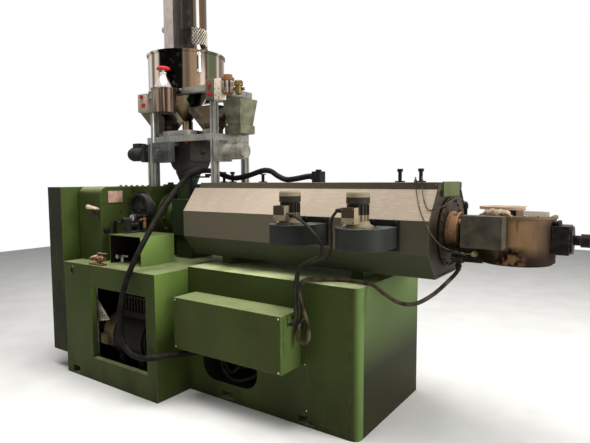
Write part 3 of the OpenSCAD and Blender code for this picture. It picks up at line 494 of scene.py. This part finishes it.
def cowl_paint(name):
    """Blower motor: beige foot flange and cowl, dark finned body, brown-grey terminal box with
    painted light on its +X face.
    """
    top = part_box("blower_housing_a")[1].z
    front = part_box("blower_motor_a")[0].y
    s = Surface(name, (144, 131, 106), 0.5)
    s.layer(s.noise(12, 0.4, 0.66), (132, 120, 98))
    s.layer(s.both(s.facing("z"), s.noise(24, 0.35, 0.6)), (128, 120, 104), 0.8, amount=0.5)
    s.layer(s.both(s.edges(0.003), s.noise(60, 0.45, 0.55)), (110, 100, 84), amount=0.6)
    fins = s.between("z", top + 0.0325, top + 0.1235)
    s.layer(fins, (50, 45, 38), 0.55)
    box = s.both(s.beyond("y", front + 0.046, False), s.between("z", top + 0.02, top + 0.108))
    s.layer(box, (64, 54, 40), 0.5)
    # painted light: the terminal box's +X face is paler
    s.layer(s.both(box, s.facing("x")), (150, 138, 112))
    s.bump(s.noise(280, 0.3, 0.7, detail=2), 0.15, 0.0005)
    return s.done()


def blower_paint(name):
    """Blue-grey scroll with a paler rolled rim and a blackened plate against the cover."""
    plate_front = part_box("blower_housing_a")[1].y - 0.0125
    s = Surface(name, (48, 50, 46), 0.5)
    s.layer(s.noise(7, 0.38, 0.64, stretch=(1, 1, 0.4)), (38, 40, 37))
    s.layer(s.noise(60, 0.72, 0.75, detail=6), (60, 54, 48), 0.6)
    s.layer(s.both(s.facing("z"), s.noise(16, 0.35, 0.6)), (112, 110, 100), 0.75, amount=0.55)
    s.layer(s.both(s.edges(0.004), s.noise(40, 0.4, 0.55)), (118, 118, 110), 0.5, amount=0.7)
    s.layer(s.beyond("y", plate_front), (34, 33, 32), 0.55)
    s.bump(s.noise(260, 0.3, 0.7, detail=2), 0.12, 0.0006)
    return s.done()


def box_paint(name):
    """Control boxes: pale left box, dark and white right boxes, glass bowl, brass regulator."""
    dark_box, white_box = (-0.66, -0.5685), (-0.5685, -0.5015)
    bowl, regulator = (-0.496, -0.402), (-0.395, -0.30)
    s = Surface(name, (180, 162, 148), 0.5)
    s.layer(s.noise(20, 0.4, 0.66), (162, 144, 130))
    s.layer(s.within(dark_box), (98, 92, 80), 0.5)
    s.layer(s.within(white_box), (220, 202, 182), 0.55)
    s.layer(s.both(s.within(white_box), s.spots(52, 0.32)), (92, 84, 76), 0.6)
    s.layer(s.within(bowl), (122, 86, 62), 0.35)
    glass = s.both(s.within(bowl), s.between("z", 2.044, 2.122))
    s.layer(glass, (184, 170, 150), 0.2)
    s.layer(s.both(glass, s.noise(60, 0.5, 0.56, stretch=(1, 1, 0.1))), (70, 62, 56), 0.25)
    s.layer(s.within(regulator), (96, 80, 48), 0.4, 0.6)
    s.layer(s.both(s.facing("z"), s.noise(20, 0.3, 0.6)), (120, 114, 102), 0.8, amount=0.4)
    s.bump(s.noise(300, 0.3, 0.7, detail=2), 0.12, 0.0005)
    return s.done()


def knob_steel(name):
    """Slide valve: polished can in painted reflections, brown with dark and pale upright streaks,
    bright bell and red mushroom knob.
    """
    can_top, bell_top = 2.111, 2.2355
    # painted reflections: the can's brown and its dark and pale upright streaks
    s = Surface(name, (72, 60, 50), 0.34, 0.8)
    s.layer(s.noise(26, 0.46, 0.54, detail=2, stretch=(1, 1, 0.03)), (52, 40, 32))
    s.layer(s.noise(34, 0.58, 0.62, detail=2, stretch=(1, 1, 0.03)), (136, 120, 106), 0.3)
    s.layer(s.beyond("z", can_top), (206, 200, 192), 0.2, 1.0)
    s.layer(s.beyond("z", bell_top), (196, 52, 46), 0.35, 0.0)
    s.layer(s.both(s.beyond("z", bell_top), s.noise(40, 0.5, 0.7)), (150, 36, 34), 0.5, 0.0)
    s.bump(s.noise(120, 0.3, 0.7, stretch=(1, 1, 0.1)), 0.06, 0.0005)
    return s.done()


def handle_finish(name):
    """White grip over a dark clamp."""
    clamp_top = 1.2445
    s = Surface(name, (196, 180, 150), 0.45)
    s.layer(s.noise(30, 0.45, 0.7), (170, 150, 118))
    s.layer(s.beyond("z", clamp_top, False), (52, 48, 44), 0.5)
    s.bump(s.noise(200, 0.3, 0.7), 0.1, 0.0004)
    return s.done()


def aluminium(name, base=(138, 138, 130)):
    """Bare profile with fine upright lines and dust on top."""
    s = Surface(name, base, 0.36, 0.8)
    s.layer(s.noise(8, 0.4, 0.65), shade(base, 0.81), 0.45)
    s.layer(s.noise(300, 0.45, 0.7, stretch=(1, 1, 0.04)), shade(base, 1.15))
    s.layer(s.both(s.facing("z"), s.noise(24, 0.35, 0.6)), (140, 136, 126), 0.7, 0.2, amount=0.5)
    s.bump(s.noise(380, 0.3, 0.7, stretch=(1, 1, 0.05)), 0.1, 0.0004)
    return s.done()


def brass(name):
    """Water valve: dull stained brass, with painted light making it pale on top, and a bright steel
    back end.
    """
    s = Surface(name, (118, 84, 62), 0.5, 0.55)
    # painted light: pale on the faces turned up
    s.layer(s.facing("z", 0.2, 0.8), (204, 168, 146), 0.5, 0.2)
    s.layer(s.noise(30, 0.42, 0.66), (108, 76, 44), 0.6, 0.6)
    s.layer(s.noise(70, 0.6, 0.7, detail=6), (70, 54, 38), 0.75, 0.2)
    back_end = s.beyond("y", -0.61)
    s.layer(back_end, (176, 174, 168), 0.3, 1.0)
    s.bump(s.noise(200, 0.3, 0.7, detail=4), 0.2, 0.0006)
    return s.done()


def board(name, base=(166, 143, 122)):
    """Pale insulation with brown specks, whiter at the right."""
    s = Surface(name, base, 0.9)
    s.layer(s.noise(11, 0.42, 0.64), shade(base, 0.86))
    s.layer(s.noise(45, 0.62, 0.7, detail=6), (108, 84, 60))
    white_end = s.beyond("x", 1.40)
    s.layer(white_end, (218, 210, 196), 0.85)
    s.bump(s.noise(180, 0.3, 0.7, detail=6), 0.4, 0.0015)
    return s.done()


def assign(material, *names):
    """Puts the material on these CAD nodes."""
    for name in names:
        slots = NODES[name].material_slots
        if not slots:
            NODES[name].data.materials.append(material)
        for one in slots:
            one.material = material


def paint_green():
    """The green machine: each casting or housing in its own tone, with painted shade inside its
    opening and painted light and shade on its +X faces.
    """
    cutout = ((-0.5255, -0.0525), (-0.4315, -0.19), (0.1165, 0.4995))
    motor_bay = ((-1.6475, -0.6975), (-0.6815, 0.3915), (0.0685, 0.8015))
    coupling = ((-1.3155, -0.9705), (-0.5765, -0.3), (0.8, 1.0585))
    # base: painted shade inside the cut-out; its pale dust tone also paints top light; on the +X
    # faces painted shade, with painted light higher up and on a strip at the front edge
    base = green_paint("base_green", inside=cutout, dust=(196, 204, 150), right=[
        ((24, 21, 12), "z", -0.2, 0.0), ((92, 112, 62), "z", 0.35, 0.8),
        ((92, 114, 62), "y", -0.365, -0.375)])
    assign(base, "base_frame")
    assign(
        green_paint("green_paint"),
        "base_front_panel", "stand_panel", "shaft_collars",
        "gearbox_hood", "gearbox_casing", "thrust_housing",
    )
    # belt guard: its dark base is painted shade on its front; painted light on its +X faces
    belt = green_paint("belt_green", (26, 28, 12), right=[((66, 80, 36), "z", -1.0, 0.0)])
    assign(belt, "belt_guard")
    assign(green_paint("bracket_green", (86, 96, 50)), "cover_bracket")
    # stand: painted shade inside the motor bay, painted light on the upper part of its +X faces
    stand = green_paint("stand_green", inside=motor_bay, right=[((142, 174, 86), "z", 0.4, 0.95)])
    assign(stand, "stand_frame")
    # coupling guard: painted shade inside its opening, painted light on the upper part of its +X
    # faces
    guard = green_paint("guard_green", (98, 116, 54), inside=coupling, dust=(92, 96, 66),
                        right=[((150, 178, 98), "z", 0.6, 0.8)])
    assign(guard, "coupling_guard")
    # terminal box: painted light on its +X faces
    box = green_paint("box_green", (64, 74, 34), right=[((74, 90, 45), "z", 0.0, 0.4)])
    assign(box, "terminal_box", "terminal_box_cover")
    # feed section: green, darkened as painted shade
    assign(green_paint("feed_green", (50, 62, 40), 0.5), "feed_section")


def paint_dark():
    """Drives, pumps and the neck in dull paint."""
    assign(dark_paint("dark_paint"), "oil_unit", "oil_cooler", "dosing_drive_left")
    assign(dark_paint("neck_green", (56, 66, 58), (84, 88, 76)), "feed_neck")
    assign(dark_paint("motor_red", (15, 12, 10), (32, 28, 23)), "drive_motor")
    assign(dark_paint("motor_cream", (98, 86, 62), (90, 80, 60)), "motor_end_bell")


def paint_polished():
    """Drum, cone, loader and dosing hoppers, with painted reflections as bands of (from, to, tone)
    in degrees.
    """
    # tones of the painted reflections in the polished sheet, the black one a painted black
    # reflection
    black_reflection, dark, brown = (10, 8, 7), (50, 43, 38), (104, 84, 64)
    copper, olive, pale = (148, 122, 94), (96, 100, 72), (204, 190, 178)
    drum = [
        (-180, -117, dark), (-115, -104, pale), (-103, -97, brown), (-96, -87, pale),
        (-86, -48, black_reflection), (-47, -39, brown), (-38, -28, copper), (-27, -12, dark),
        (-11, 5, olive), (7, 12, pale), (14, 28, brown), (30, 110, dark), (120, 150, pale)]
    cone = [
        (-180, -98, brown), (-96, -84, copper), (-82, -54, brown), (-52, -30, olive),
        (-28, 30, dark), (50, 120, dark)]
    # the loader's near-white band is a painted highlight
    loader = [
        (-180, -44, dark), (-32, -20, (236, 230, 220)), (-18, 20, brown), (22, 60, dark),
        (90, 140, dark)]
    assign(banded_metal("drum_sheet", DRUM_AXIS, drum), "hopper_drum", "hopper_lid")
    assign(banded_metal("cone_sheet", DRUM_AXIS, cone), "hopper_cone")
    assign(banded_metal("loader_sheet", LOADER_AXIS, loader, (110, 98, 88)), "loader_body")
    assign(mirror_metal("mirror_soft"), "dosing_hopper_left", "dosing_hopper_right")


def paint_rest():
    """Bare metal, sheet, plastic, board and the pale paints."""
    assign(plain_metal("steel"), "barrel")
    assign(dark_paint("punched", (196, 190, 176), (190, 184, 170)), "motor_grille")
    assign(handle_finish("grip"), "hood_handle")
    assign(aluminium("aluminium"), "hopper_frame")
    assign(aluminium("column_sheet", (178, 164, 158)), "loader_column")
    assign(dark_paint("plate_white", (206, 202, 192), (196, 190, 176)), "mixer_plate")
    assign(cover_sheet("cover_sheet"), "cover_shell", "cover_end_plates", "cover_top_lid")
    assign(dark_paint("box_grey", (74, 68, 57), (98, 90, 76)), "die_terminal_box")
    assign(dark_paint("bin_grey", (118, 118, 96), (140, 138, 122)), "side_hopper")
    assign(blower_paint("blower_paint"), "blower_housing_a", "blower_housing_b")
    assign(cowl_paint("cowl_paint"), "blower_motor_a", "blower_motor_b")
    assign(dark_paint("gear_grey", (150, 146, 134), (120, 114, 100)), "dosing_drive_right")
    assign(burnt_steel("burnt_steel"), "die_head")
    assign(rusty("rust"), "barrel_flange")
    assign(black_steel("black_steel"), "die_adapter", "die_outlet", "loader_mesh")
    assign(board("board"), "die_insulation")
    assign(brass("brass"), "water_valve")
    assign(plastic("black_plastic"), "terminal_posts")
    assign(plastic("bin_black", (48, 45, 41)), "mixer_bin")


# trim


def smooth_route(points, steps=5):
    """A smooth line through the route's points, with the end stretches left straight."""
    line = []
    for i in range(len(points) - 1):
        a, b = points[i], points[i + 1]
        if i in (0, len(points) - 2):
            line.append(a)
            continue
        before, after = points[i - 1], points[i + 2]
        t_in = (b - before) * ((b - a).length / ((a - before).length + (b - a).length))
        t_out = (after - a) * ((b - a).length / ((b - a).length + (after - b).length))
        for k in range(steps):
            t = k / steps
            h = (2 * t**3 - 3 * t**2 + 1, t**3 - 2 * t**2 + t, 3 * t**2 - 2 * t**3, t**3 - t**2)
            line.append(a * h[0] + t_in * h[1] + b * h[2] + t_out * h[3])
    return line + [points[-1]]


class Trim:
    """A rigid piece built from small bevelled forms, all sizes in mm in the machine's frame."""

    def __init__(self, name, material, slot):
        self.name, self.material, self.slot = name, material, slot
        self.mesh = bmesh.new()

    def box(self, x, y, z, edge=1.0):
        """A bevelled block between the given spans."""
        made = bmesh.ops.create_cube(self.mesh, size=1.0)["verts"]
        for v in made:
            for k, (low, high) in enumerate((x, y, z)):
                v.co[k] = (low + high) / 2000 + v.co[k] * (high - low) / 1000
        edges = dict.fromkeys(e for v in made for e in v.link_edges)
        bmesh.ops.bevel(
            self.mesh, geom=list(edges), offset=edge / 1000, segments=2, affect="EDGES",
            profile=0.5,
        )

    def strip(self, low, high):
        """Faces between two rings of points, one of which may be a single point."""
        sides = max(len(low), len(high))
        for k in range(sides):
            n = (k + 1) % sides
            if len(low) == 1:
                self.mesh.faces.new((low[0], high[n], high[k]))
            elif len(high) == 1:
                self.mesh.faces.new((low[k], low[n], high[0]))
            else:
                self.mesh.faces.new((low[k], low[n], high[n], high[k]))

    def turned(self, start, direction, profile, sides=24, ring=False):
        """A body turned round an axis: profile lists (distance along, radius).

        With ring, the profile closes on itself and leaves a hole along the axis.
        """
        axis = Vector(direction).normalized()
        side = axis.orthogonal().normalized()
        other = axis.cross(side)
        rings = []
        for along, radius in profile:
            centre = (Vector(start) + axis * along) / 1000
            if radius == 0:
                rings.append([self.mesh.verts.new(centre)])
                continue
            rings.append([
                self.mesh.verts.new(
                    centre + (side * math.cos(a) + other * math.sin(a)) * radius / 1000)
                for a in (2 * math.pi * k / sides for k in range(sides))
            ])
        for low, high in zip(rings, rings[1:] + (rings[:1] if ring else [])):
            self.strip(low, high)
        for end in (rings[0], rings[-1]):
            if len(end) > 1 and not ring:
                self.mesh.faces.new(end)

    def screw(self, start, direction, radius, height=4.0):
        """A round screw head with a domed top."""
        profile = [(0, radius), (height * 0.5, radius), (height * 0.85, radius * 0.8),
                   (height, radius * 0.45), (height * 0.8, radius * 0.3), (height * 0.8, 0)]
        self.turned(start, direction, profile, 16)

    def nut(self, start, direction, radius, height):
        """A hexagon nut or bolt head."""
        profile = [(0, radius), (height * 0.85, radius), (height, radius * 0.86)]
        self.turned(start, direction, profile, 6)

    def pipe(self, points, radius, sides=12):
        """A bent tube through the points."""
        line = smooth_route([Vector(q) for q in points], 4)
        side = (line[1] - line[0]).orthogonal().normalized()
        rings = []
        for k, centre in enumerate(line):
            ahead = (line[min(k + 1, len(line) - 1)] - line[max(k - 1, 0)]).normalized()
            side = (side - ahead * side.dot(ahead)).normalized()
            other = ahead.cross(side)
            rings.append([
                self.mesh.verts.new(
                    (centre + (side * math.cos(a) + other * math.sin(a)) * radius) / 1000)
                for a in (2 * math.pi * n / sides for n in range(sides))
            ])
        for low, high in zip(rings, rings[1:]):
            self.strip(low, high)
        self.mesh.faces.new(rings[0][::-1])
        self.mesh.faces.new(rings[-1])

    def done(self, smooth=40):
        """Makes the piece, smooth below this angle in degrees, on the fixed body."""
        bmesh.ops.recalc_face_normals(self.mesh, faces=self.mesh.faces)
        data = bpy.data.meshes.new(self.name)
        self.mesh.to_mesh(data)
        self.mesh.free()
        data.materials.append(self.material)
        data.shade_smooth()
        piece = new_object(self.name, data)
        data.set_sharp_from_angle(angle=math.radians(smooth))
        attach(piece, "root")
        return piece


def base_trim():
    """Screws of the base, cable loops in its cut-out and the latch of the stand."""
    front, box_front = -432, -632
    zinc = plain_metal("zinc", (176, 172, 160), 0.45)
    trim = Trim("cover_screws", zinc, "steel")
    for x in (-569, 263):
        for z in (379, 686):
            trim.screw((x, box_front, z), FRONT, 6)
    for x, z in ((307, 377), (317, 98)):
        trim.screw((x, front, z), FRONT, 5)
    trim.done()
    loops = Trim("base_cables", rubber("cable_black", (26, 25, 24)), "rubber_hose")
    loops.pipe([(-450, -240, 490), (-450, -300, 400), (-400, -360, 250), (-330, -370, 170),
                (-260, -360, 230), (-220, -300, 380), (-220, -240, 490)], 11)
    loops.pipe([(-380, -220, 494), (-370, -280, 420), (-300, -340, 300), (-230, -350, 220),
                (-160, -330, 280), (-130, -280, 400), (-130, -230, 490)], 9)
    loops.pipe([(-480, -200, 300), (-440, -330, 280), (-380, -390, 200), (-300, -395, 140),
                (-200, -390, 150), (-110, -340, 200), (-80, -240, 260)], 12)
    loops.done()
    pale = Trim("base_cable_pale", plastic("cable_pale", (132, 124, 108)), "rubber_hose")
    pale.pipe([(-330, -210, 492), (-330, -300, 430), (-350, -370, 350), (-310, -385, 290),
               (-260, -370, 330), (-250, -300, 420), (-260, -210, 492)], 8)
    pale.done()
    latch = Trim("stand_latch", plastic("latch_black"), "black_plastic")
    for z in (774, 782, 790, 798, 806):
        latch.turned((-1577, -718, z), FRONT, [(0, 13), (4, 13), (6, 10), (6, 0)])
    latch.done()


def drive_trim():
    """Bare plate, plug and fitting of the hood, oil pipe, gauge dial and pump fittings."""
    hood = -1423  # the hood's right face
    pink = dark_paint("plate_pink", (182, 146, 128), (186, 160, 144))
    plate = Trim("hood_plate", pink, "steel")
    plate.box((hood, hood + 2), (-505, -379), (1290, 1378), 0.6)
    plate.done()
    fitting = Trim("hood_fitting", plastic("fitting_black"), "black_plastic")
    fitting.turned((hood, -530, 1085), RIGHT, [
        (0, 26), (8, 26), (10, 20), (22, 20), (25, 12), (25, 0)])
    fitting.screw((hood, -396, 1213), RIGHT, 8)
    fitting.box((hood, hood + 1.4), (-560, -292), (1281, 1284), 0.3)
    fitting.pipe([(-1318, -483, 1134), (-1345, -480, 1150), (-1385, -472, 1145),
                  (-1406, -468, 1100), (-1408, -466, 1000), (-1408, -466, 900),
                  (-1408, -466, 850)], 9)
    fitting.turned((-953, -577, 995), FRONT, [(0, 9), (5, 9), (5, 0)])
    fitting.done()
    white = dark_paint("dial_white", (232, 230, 222), (214, 210, 200))
    dial = Trim("oil_gauge_dial", white, "steel")
    dial.turned((-1276, -409, 1174), FRONT, [(0, 25), (2, 25), (2, 0)], 32)
    dial.done()
    needle = Trim("oil_gauge_needle", plastic("needle_black"), "black_plastic")
    needle.box((-1278, -1275), (-413, -411), (1170, 1190), 0.3)
    needle.screw((-1276, -411, 1174), FRONT, 3, 2.5)
    needle.done()
    copper = Trim("pump_fittings", plain_metal("copper", (118, 82, 58), 0.45), "brass_parts")
    copper.turned((-1206, -347, 1096), UP, [(0, 15), (40, 15), (44, 13), (60, 13)])
    copper.nut((-1206, -347, 1156), UP, 20, 16)
    copper.nut((-1250, -347, 1152), RIGHT, 17, 18)
    copper.nut((-1276, -391, 1146), UP, 15, 12)
    copper.done()


def hopper_trim():
    """Slide valve in front of the drum, gear block, boxes, regulator, latch and knobs."""
    valve = Trim("slide_valve", knob_steel("valve_steel"), "polished_steel")
    valve.turned((-958, -345, 1935), UP, [
        (0, 80), (3, 86), (163, 86), (163, 90), (173, 90), (173, 66), (190, 63), (215, 52),
        (250, 34), (260, 26), (286, 25), (290, 13), (300, 12), (301, 34), (308, 48),
        (318, 47), (326, 36), (330, 20), (330, 0)], 40)
    valve.box((-1000, -916), (-275, -231), (2090, 2100), 1)
    valve.box((-1010, -906), (-235, -231), (2082, 2122), 1)
    valve.done()
    dark = dark_paint("gear_dark", (92, 94, 90), (150, 148, 140))
    gear = Trim("front_gear_block", dark, "dark_paint")
    width, lid = (-1222, -1030), -256
    gear.box(width, (-250, -187), (1590, 1745), 8)
    gear.box(width, (-190, -143), (1716, 1746), 2)
    gear.box((-1196, -1056), (lid, -250), (1616, 1720), 3)
    for x in (-1186, -1066):
        for z in (1626, 1710):
            gear.screw((x, lid, z), FRONT, 6)
    gear.turned((-1150, lid, 1668), FRONT, [(0, 22), (12, 22), (16, 18), (16, 0)])
    gear.done()
    boxes = Trim("control_box_bodies", box_paint("box_paint"), "grey_plastic")
    box_front = -245
    boxes.box((-1378, -1268), (box_front, -187), (1984, 2122), 4)
    boxes.box((-644, -569), (box_front, -187), (2012, 2154), 4)
    boxes.box((-568, -502), (-241, -187), (2006, 2150), 4)
    boxes.box((-503, -330), (-208, -192), (2054, 2074), 2)
    boxes.turned((-448, -229, 2030), UP, [
        (0, 24), (6, 34), (16, 40), (96, 40), (98, 44), (112, 44), (114, 34), (134, 30), (134, 0)])
    boxes.turned((-356, -227, 2024), UP, [
        (0, 14), (8, 22), (56, 22), (58, 30), (84, 30), (92, 24), (92, 0)])
    boxes.turned((-448, -229, 2066), RIGHT, [(0, 12), (92, 12)])
    piece = boxes.done()
    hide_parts("control_boxes")
    button = plastic("button_red", (158, 42, 40), 0.4, (150, 84, 76))
    red = Trim("control_buttons", button, "grey_plastic")
    for x, z, r in ((-1323, 2098, 15), (-606, 2112, 14)):
        neck = r * 0.7
        red.turned((x, box_front, z), FRONT, [(0, neck), (8, neck), (8, r), (14, r), (16, 0)])
    for x, z in ((-1310, 2034), (-606, 2056)):
        red.box((x - 22, x + 22), (box_front - 4, box_front), (z - 14, z + 12), 2)
    red.turned((-981, -120, 1748), FRONT, [(0, 14), (6, 14), (9, 9), (9, 0)])
    red.done()
    knobs = Trim("drum_fittings", plastic("knob_black"), "black_plastic")
    knobs.turned((-812, -95, 2408), UP, [
        (0, 8), (16, 8), (18, 18), (34, 20), (40, 14), (42, 0)])
    knobs.turned((-700, -219, 1650), FRONT, [(0, 14), (10, 14), (12, 18), (20, 16), (20, 0)])
    knobs.done()
    latch = Trim("drum_latch", plain_metal("latch_steel", (214, 212, 206), 0.3), "steel")
    out = Vector((0.899, -0.438, 0))
    centre = Vector((DRUM_AXIS[0] * 1000, 0, 0))
    drum_r, bar_r = 288, 306
    for z in (2256, 2376):
        foot = centre + out * drum_r + Vector((0, 0, z))
        latch.turned(foot, out, [(0, 14), (6, 14), (8, 9), (24, 9), (26, 0)])
    bar = centre + out * bar_r
    latch.pipe([bar + Vector((0, 0, z)) for z in (2244, 2290, 2340, 2388)], 9)
    latch.pipe([(-1262, -193.4, z) for z in (1600, 1720, 1850, 1990)], 6)
    latch.done()
    lattice = Trim("loader_lattice", plain_metal("lattice_steel", (206, 196, 178), 0.35), "steel")
    floor, roof = (v.z * 1000 + e for v, e in zip(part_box("loader_mesh"), (2, -2)))
    centre, radius, limit = LOADER_AXIS[0] * 1000, 102.5, math.radians(53)
    steps = 12
    for k in range(-10, 11):
        for lean in (-4, 4):  # degrees of turn for each step upwards
            turns = [(math.radians(12 * k + lean * n), n / steps) for n in range(steps + 1)]
            seen = [(a, t) for a, t in turns if abs(a) < limit]
            if len(seen) > 1:
                lattice.pipe([(centre + radius * math.cos(a), radius * math.sin(a),
                               floor + (roof - floor) * t) for a, t in seen], 1.8, 6)
    lattice.done()


def blower_trim():
    """Knobs of the blower plates, bolts of the scrolls, and screws of boxes and cover lid."""
    black = Trim("plate_knobs", plastic("star_black"), "black_plastic")
    bolts = Trim("scroll_bolts", plain_metal("bolt_steel", (92, 85, 74), 0.5), "steel")
    plate, box_front, ring_r, ring_y = -344, -585, 97, -480
    for x in (239, 673):  # the axes of the two blowers
        for at in (20, 150):
            black.turned((x + at, plate, 1228), FRONT, [
                (0, 8), (10, 8), (11, 16), (22, 16), (25, 11), (25, 0)], 8)
        for k in range(6):
            a = math.radians(60 * k + 15)
            bolts.nut((x + ring_r * math.cos(a), ring_y + ring_r * math.sin(a), 1206), UP, 7, 6)
        for dx in (-34, 26):
            for z in (1236, 1304):
                bolts.screw((x + dx, box_front, z), FRONT, 4, 3)
    for x in range(-690, 1000, 240):
        for y in (-206, 206):
            bolts.screw((x, y, 1424), (0, math.copysign(1, y), 0), 5, 3)
    black.done()
    bolts.done()


def die_trim():
    """Toothed disc at the cover end, lid bolts, fittings and loose insulation of the die."""
    disc = Trim("end_disc", dark_paint("disc_steel", (56, 45, 36), (74, 62, 52)), "rusty_steel")
    barrel_z, face, inner, teeth_r, outer = 1160, 1000.3, 119, 184, 196
    disc.turned((face, 0, barrel_z), RIGHT, [
        (0, inner), (0, outer - 2), (2, outer), (10, outer), (12, outer - 2), (12, inner)],
        96, ring=True)
    for k in range(24):
        a = math.radians(15 * k + 7.5)
        y, z = teeth_r * math.cos(a), barrel_z + teeth_r * math.sin(a)
        disc.nut((face + 12, y, z), RIGHT, 9, 8)
    disc.done()
    bolts = Trim("die_bolts", plain_metal("die_bolt_steel", (120, 112, 100), 0.45), "steel")
    die_x, circle_r, lid = 1357, 168, 1268
    for k in range(16):
        a = math.radians(22.5 * k)
        x, y = die_x + circle_r * math.cos(a), circle_r * math.sin(a)
        if abs(y) > 100 or x < die_x:
            bolts.nut((x, y, lid), UP, 9, 8)
    bolts.done()
    brassy = Trim("die_fittings", plain_metal("fitting_brass", (128, 118, 72), 0.4), "brass_parts")
    brassy.nut((1180, -130, 1065), FRONT, 17, 14)
    brassy.turned((1180, -144, 1065), FRONT, [(0, 9), (18, 9), (18, 12), (24, 12), (24, 0)])
    brassy.nut((1110, -110, 1052), FRONT, 13, 10)
    brassy.done()
    plug = Trim("die_plug", plastic("plug_black"), "black_plastic")
    plug.turned((1112, -80, 1298), UP, [(0, 13), (24, 13), (28, 9), (36, 8), (36, 0)])
    plug.turned((1526, -44, 1232), (0.97, -0.24, 0), [(0, 9), (26, 9), (27, 18), (40, 20), (43, 0)])
    plug.done()
    fluff = Trim("loose_insulation", board("fluff", (172, 154, 128)), "board")
    draw = random.Random(5)
    lumps = [(1236, -92, 26), (1262, -118, 30), (1296, -134, 28), (1328, -140, 22),
             (1280, -108, 24)]
    for x, y, r in lumps:
        made = bmesh.ops.create_icosphere(fluff.mesh, subdivisions=3, radius=r / 1000)["verts"]
        for v in made:
            v.co *= draw.uniform(0.86, 1.12)
            v.co.z = max(v.co.z * 0.8, -0.012)
            v.co += Vector((x, y, 1280)) / 1000
    fluff.done(80)


# cords


# the routes of the CAD's cords: radius and length in metres, and points in millimetres from
# the route's origin
ROUTE_ORIGIN = Vector((-0.797, 0.0, 0.865))
ROUTES = {
    "main_conduit": (0.019, 3.308, [
        (897, 0, 613), (847, 0, 613), (747, -10, 597), (677, -18, 593), (612, -22, 617),
        (552, -26, 651), (487, -31, 656), (367, -45, 623), (237, -60, 605), (117, -68, 635),
        (17, -84, 662), (-58, -130, 651), (-88, -230, 597), (-71, -430, 425),
        (-45, -600, 245), (-48, -705, 95), (-85, -770, -75), (-128, -786, -245),
        (-139, -787, -375), (-118, -787, -480), (-43, -785, -543), (62, -780, -557),
        (137, -762, -549), (192, -708, -542), (267, -500, -557), (347, -290, -580),
        (347, -215, -580)]),
    "blower_lead_a": (0.008, 0.877, [
        (1087, -555, 395), (1107, -555, 395), (1207, -586, 355), (1277, -602, 307),
        (1327, -610, 253), (1317, -611, 198), (1247, -604, 159), (1172, -594, 110),
        (1141, -586, 15), (1131, -572, -95), (1124, -562, -178), (1109, -560, -215),
        (1092, -560, -215)]),
    "blower_lead_b": (0.008, 0.824, [
        (1411, -555, 430), (1391, -555, 430), (1360, -565, 380), (1361, -570, 245),
        (1349, -575, 190), (1292, -578, 161), (1212, -572, 135), (1155, -562, 85),
        (1137, -552, 0), (1127, -535, -125), (1118, -522, -185), (1107, -520, -215),
        (1092, -520, -215)]),
    "die_conduit": (0.011, 1.616, [
        (1097, -447, -229), (1097, -467, -229), (1097, -499, -265), (1107, -509, -309),
        (1142, -509, -333), (1175, -508, -310), (1181, -507, -265), (1159, -505, -185),
        (1125, -502, -100), (1105, -490, -27), (1119, -452, 17), (1172, -380, 15),
        (1247, -318, 12), (1342, -295, 12), (1487, -337, 12), (1562, -347, -27),
        (1647, -348, -63), (1727, -335, -62), (1802, -288, -17), (1857, -205, 47),
        (1887, -115, 102), (1887, -115, 130)]),
    "sensor_lead_a": (0.003, 0.569, [
        (1697, -170, 587), (1697, -170, 599), (1709, -205, 600), (1732, -250, 510),
        (1782, -300, 433), (1837, -260, 447), (1882, -165, 487), (1909, -80, 463),
        (1909, -80, 433)]),
    "sensor_lead_b": (0.003, 0.714, [
        (1662, -175, 587), (1662, -175, 599), (1673, -208, 594), (1700, -254, 508),
        (1742, -312, 425), (1785, -346, 365), (1812, -344, 315), (1850, -300, 252),
        (1917, -190, 203), (1976, -146, 200), (1977, -130, 200)]),
}


def make_cords():
    """The conduit and leads, as smooth lines along the routes of their solids."""
    rubbers = {  # by the cord's radius
        0.019: rubber("conduit_rubber"),
        0.008: rubber("lead_rubber", (46, 42, 34)),
        0.003: rubber("thin_rubber", (92, 82, 66)),
        0.011: rubber("tan_rubber", (84, 74, 58)),
    }
    # a tapered gland sleeve, as shares of its length and of the cord's radius
    sleeve = [(0, 1.6), (0.3, 1.6), (0.36, 1.42), (1, 1.08)]
    glands = Trim("cord_glands", plastic("gland_black"), "black_plastic")
    for name, (radius, length, route) in ROUTES.items():
        line = smooth_route([ROUTE_ORIGIN + Vector(p) / 1000 for p in route])
        data = bpy.data.curves.new(name + "_hose", "CURVE")
        data.dimensions = "3D"
        data.bevel_depth = radius
        data.bevel_resolution = 4
        data.use_fill_caps = True
        spline = data.splines.new("POLY")
        spline.points.add(len(line) - 1)
        for point, place in zip(spline.points, line):
            point.co = (*place, 1)
        hose = new_object(name + "_hose", data)
        data.materials.append(rubbers[radius])
        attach(hose, "root")
        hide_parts(name)
        reach = 30.0 if radius > 0.005 else 12.0
        for end, inner in ((line[0], line[1]), (line[-1], line[-2])):
            profile = [(along * reach, wide * radius * 1000) for along, wide in sleeve]
            glands.turned(end * 1000, inner - end, profile, 16)
    glands.done()


make_camera()
make_stage()
make_cords()
paint_green()
paint_dark()
paint_polished()
paint_rest()
base_trim()
drive_trim()
hopper_trim()
blower_trim()
die_trim()
make_floor()
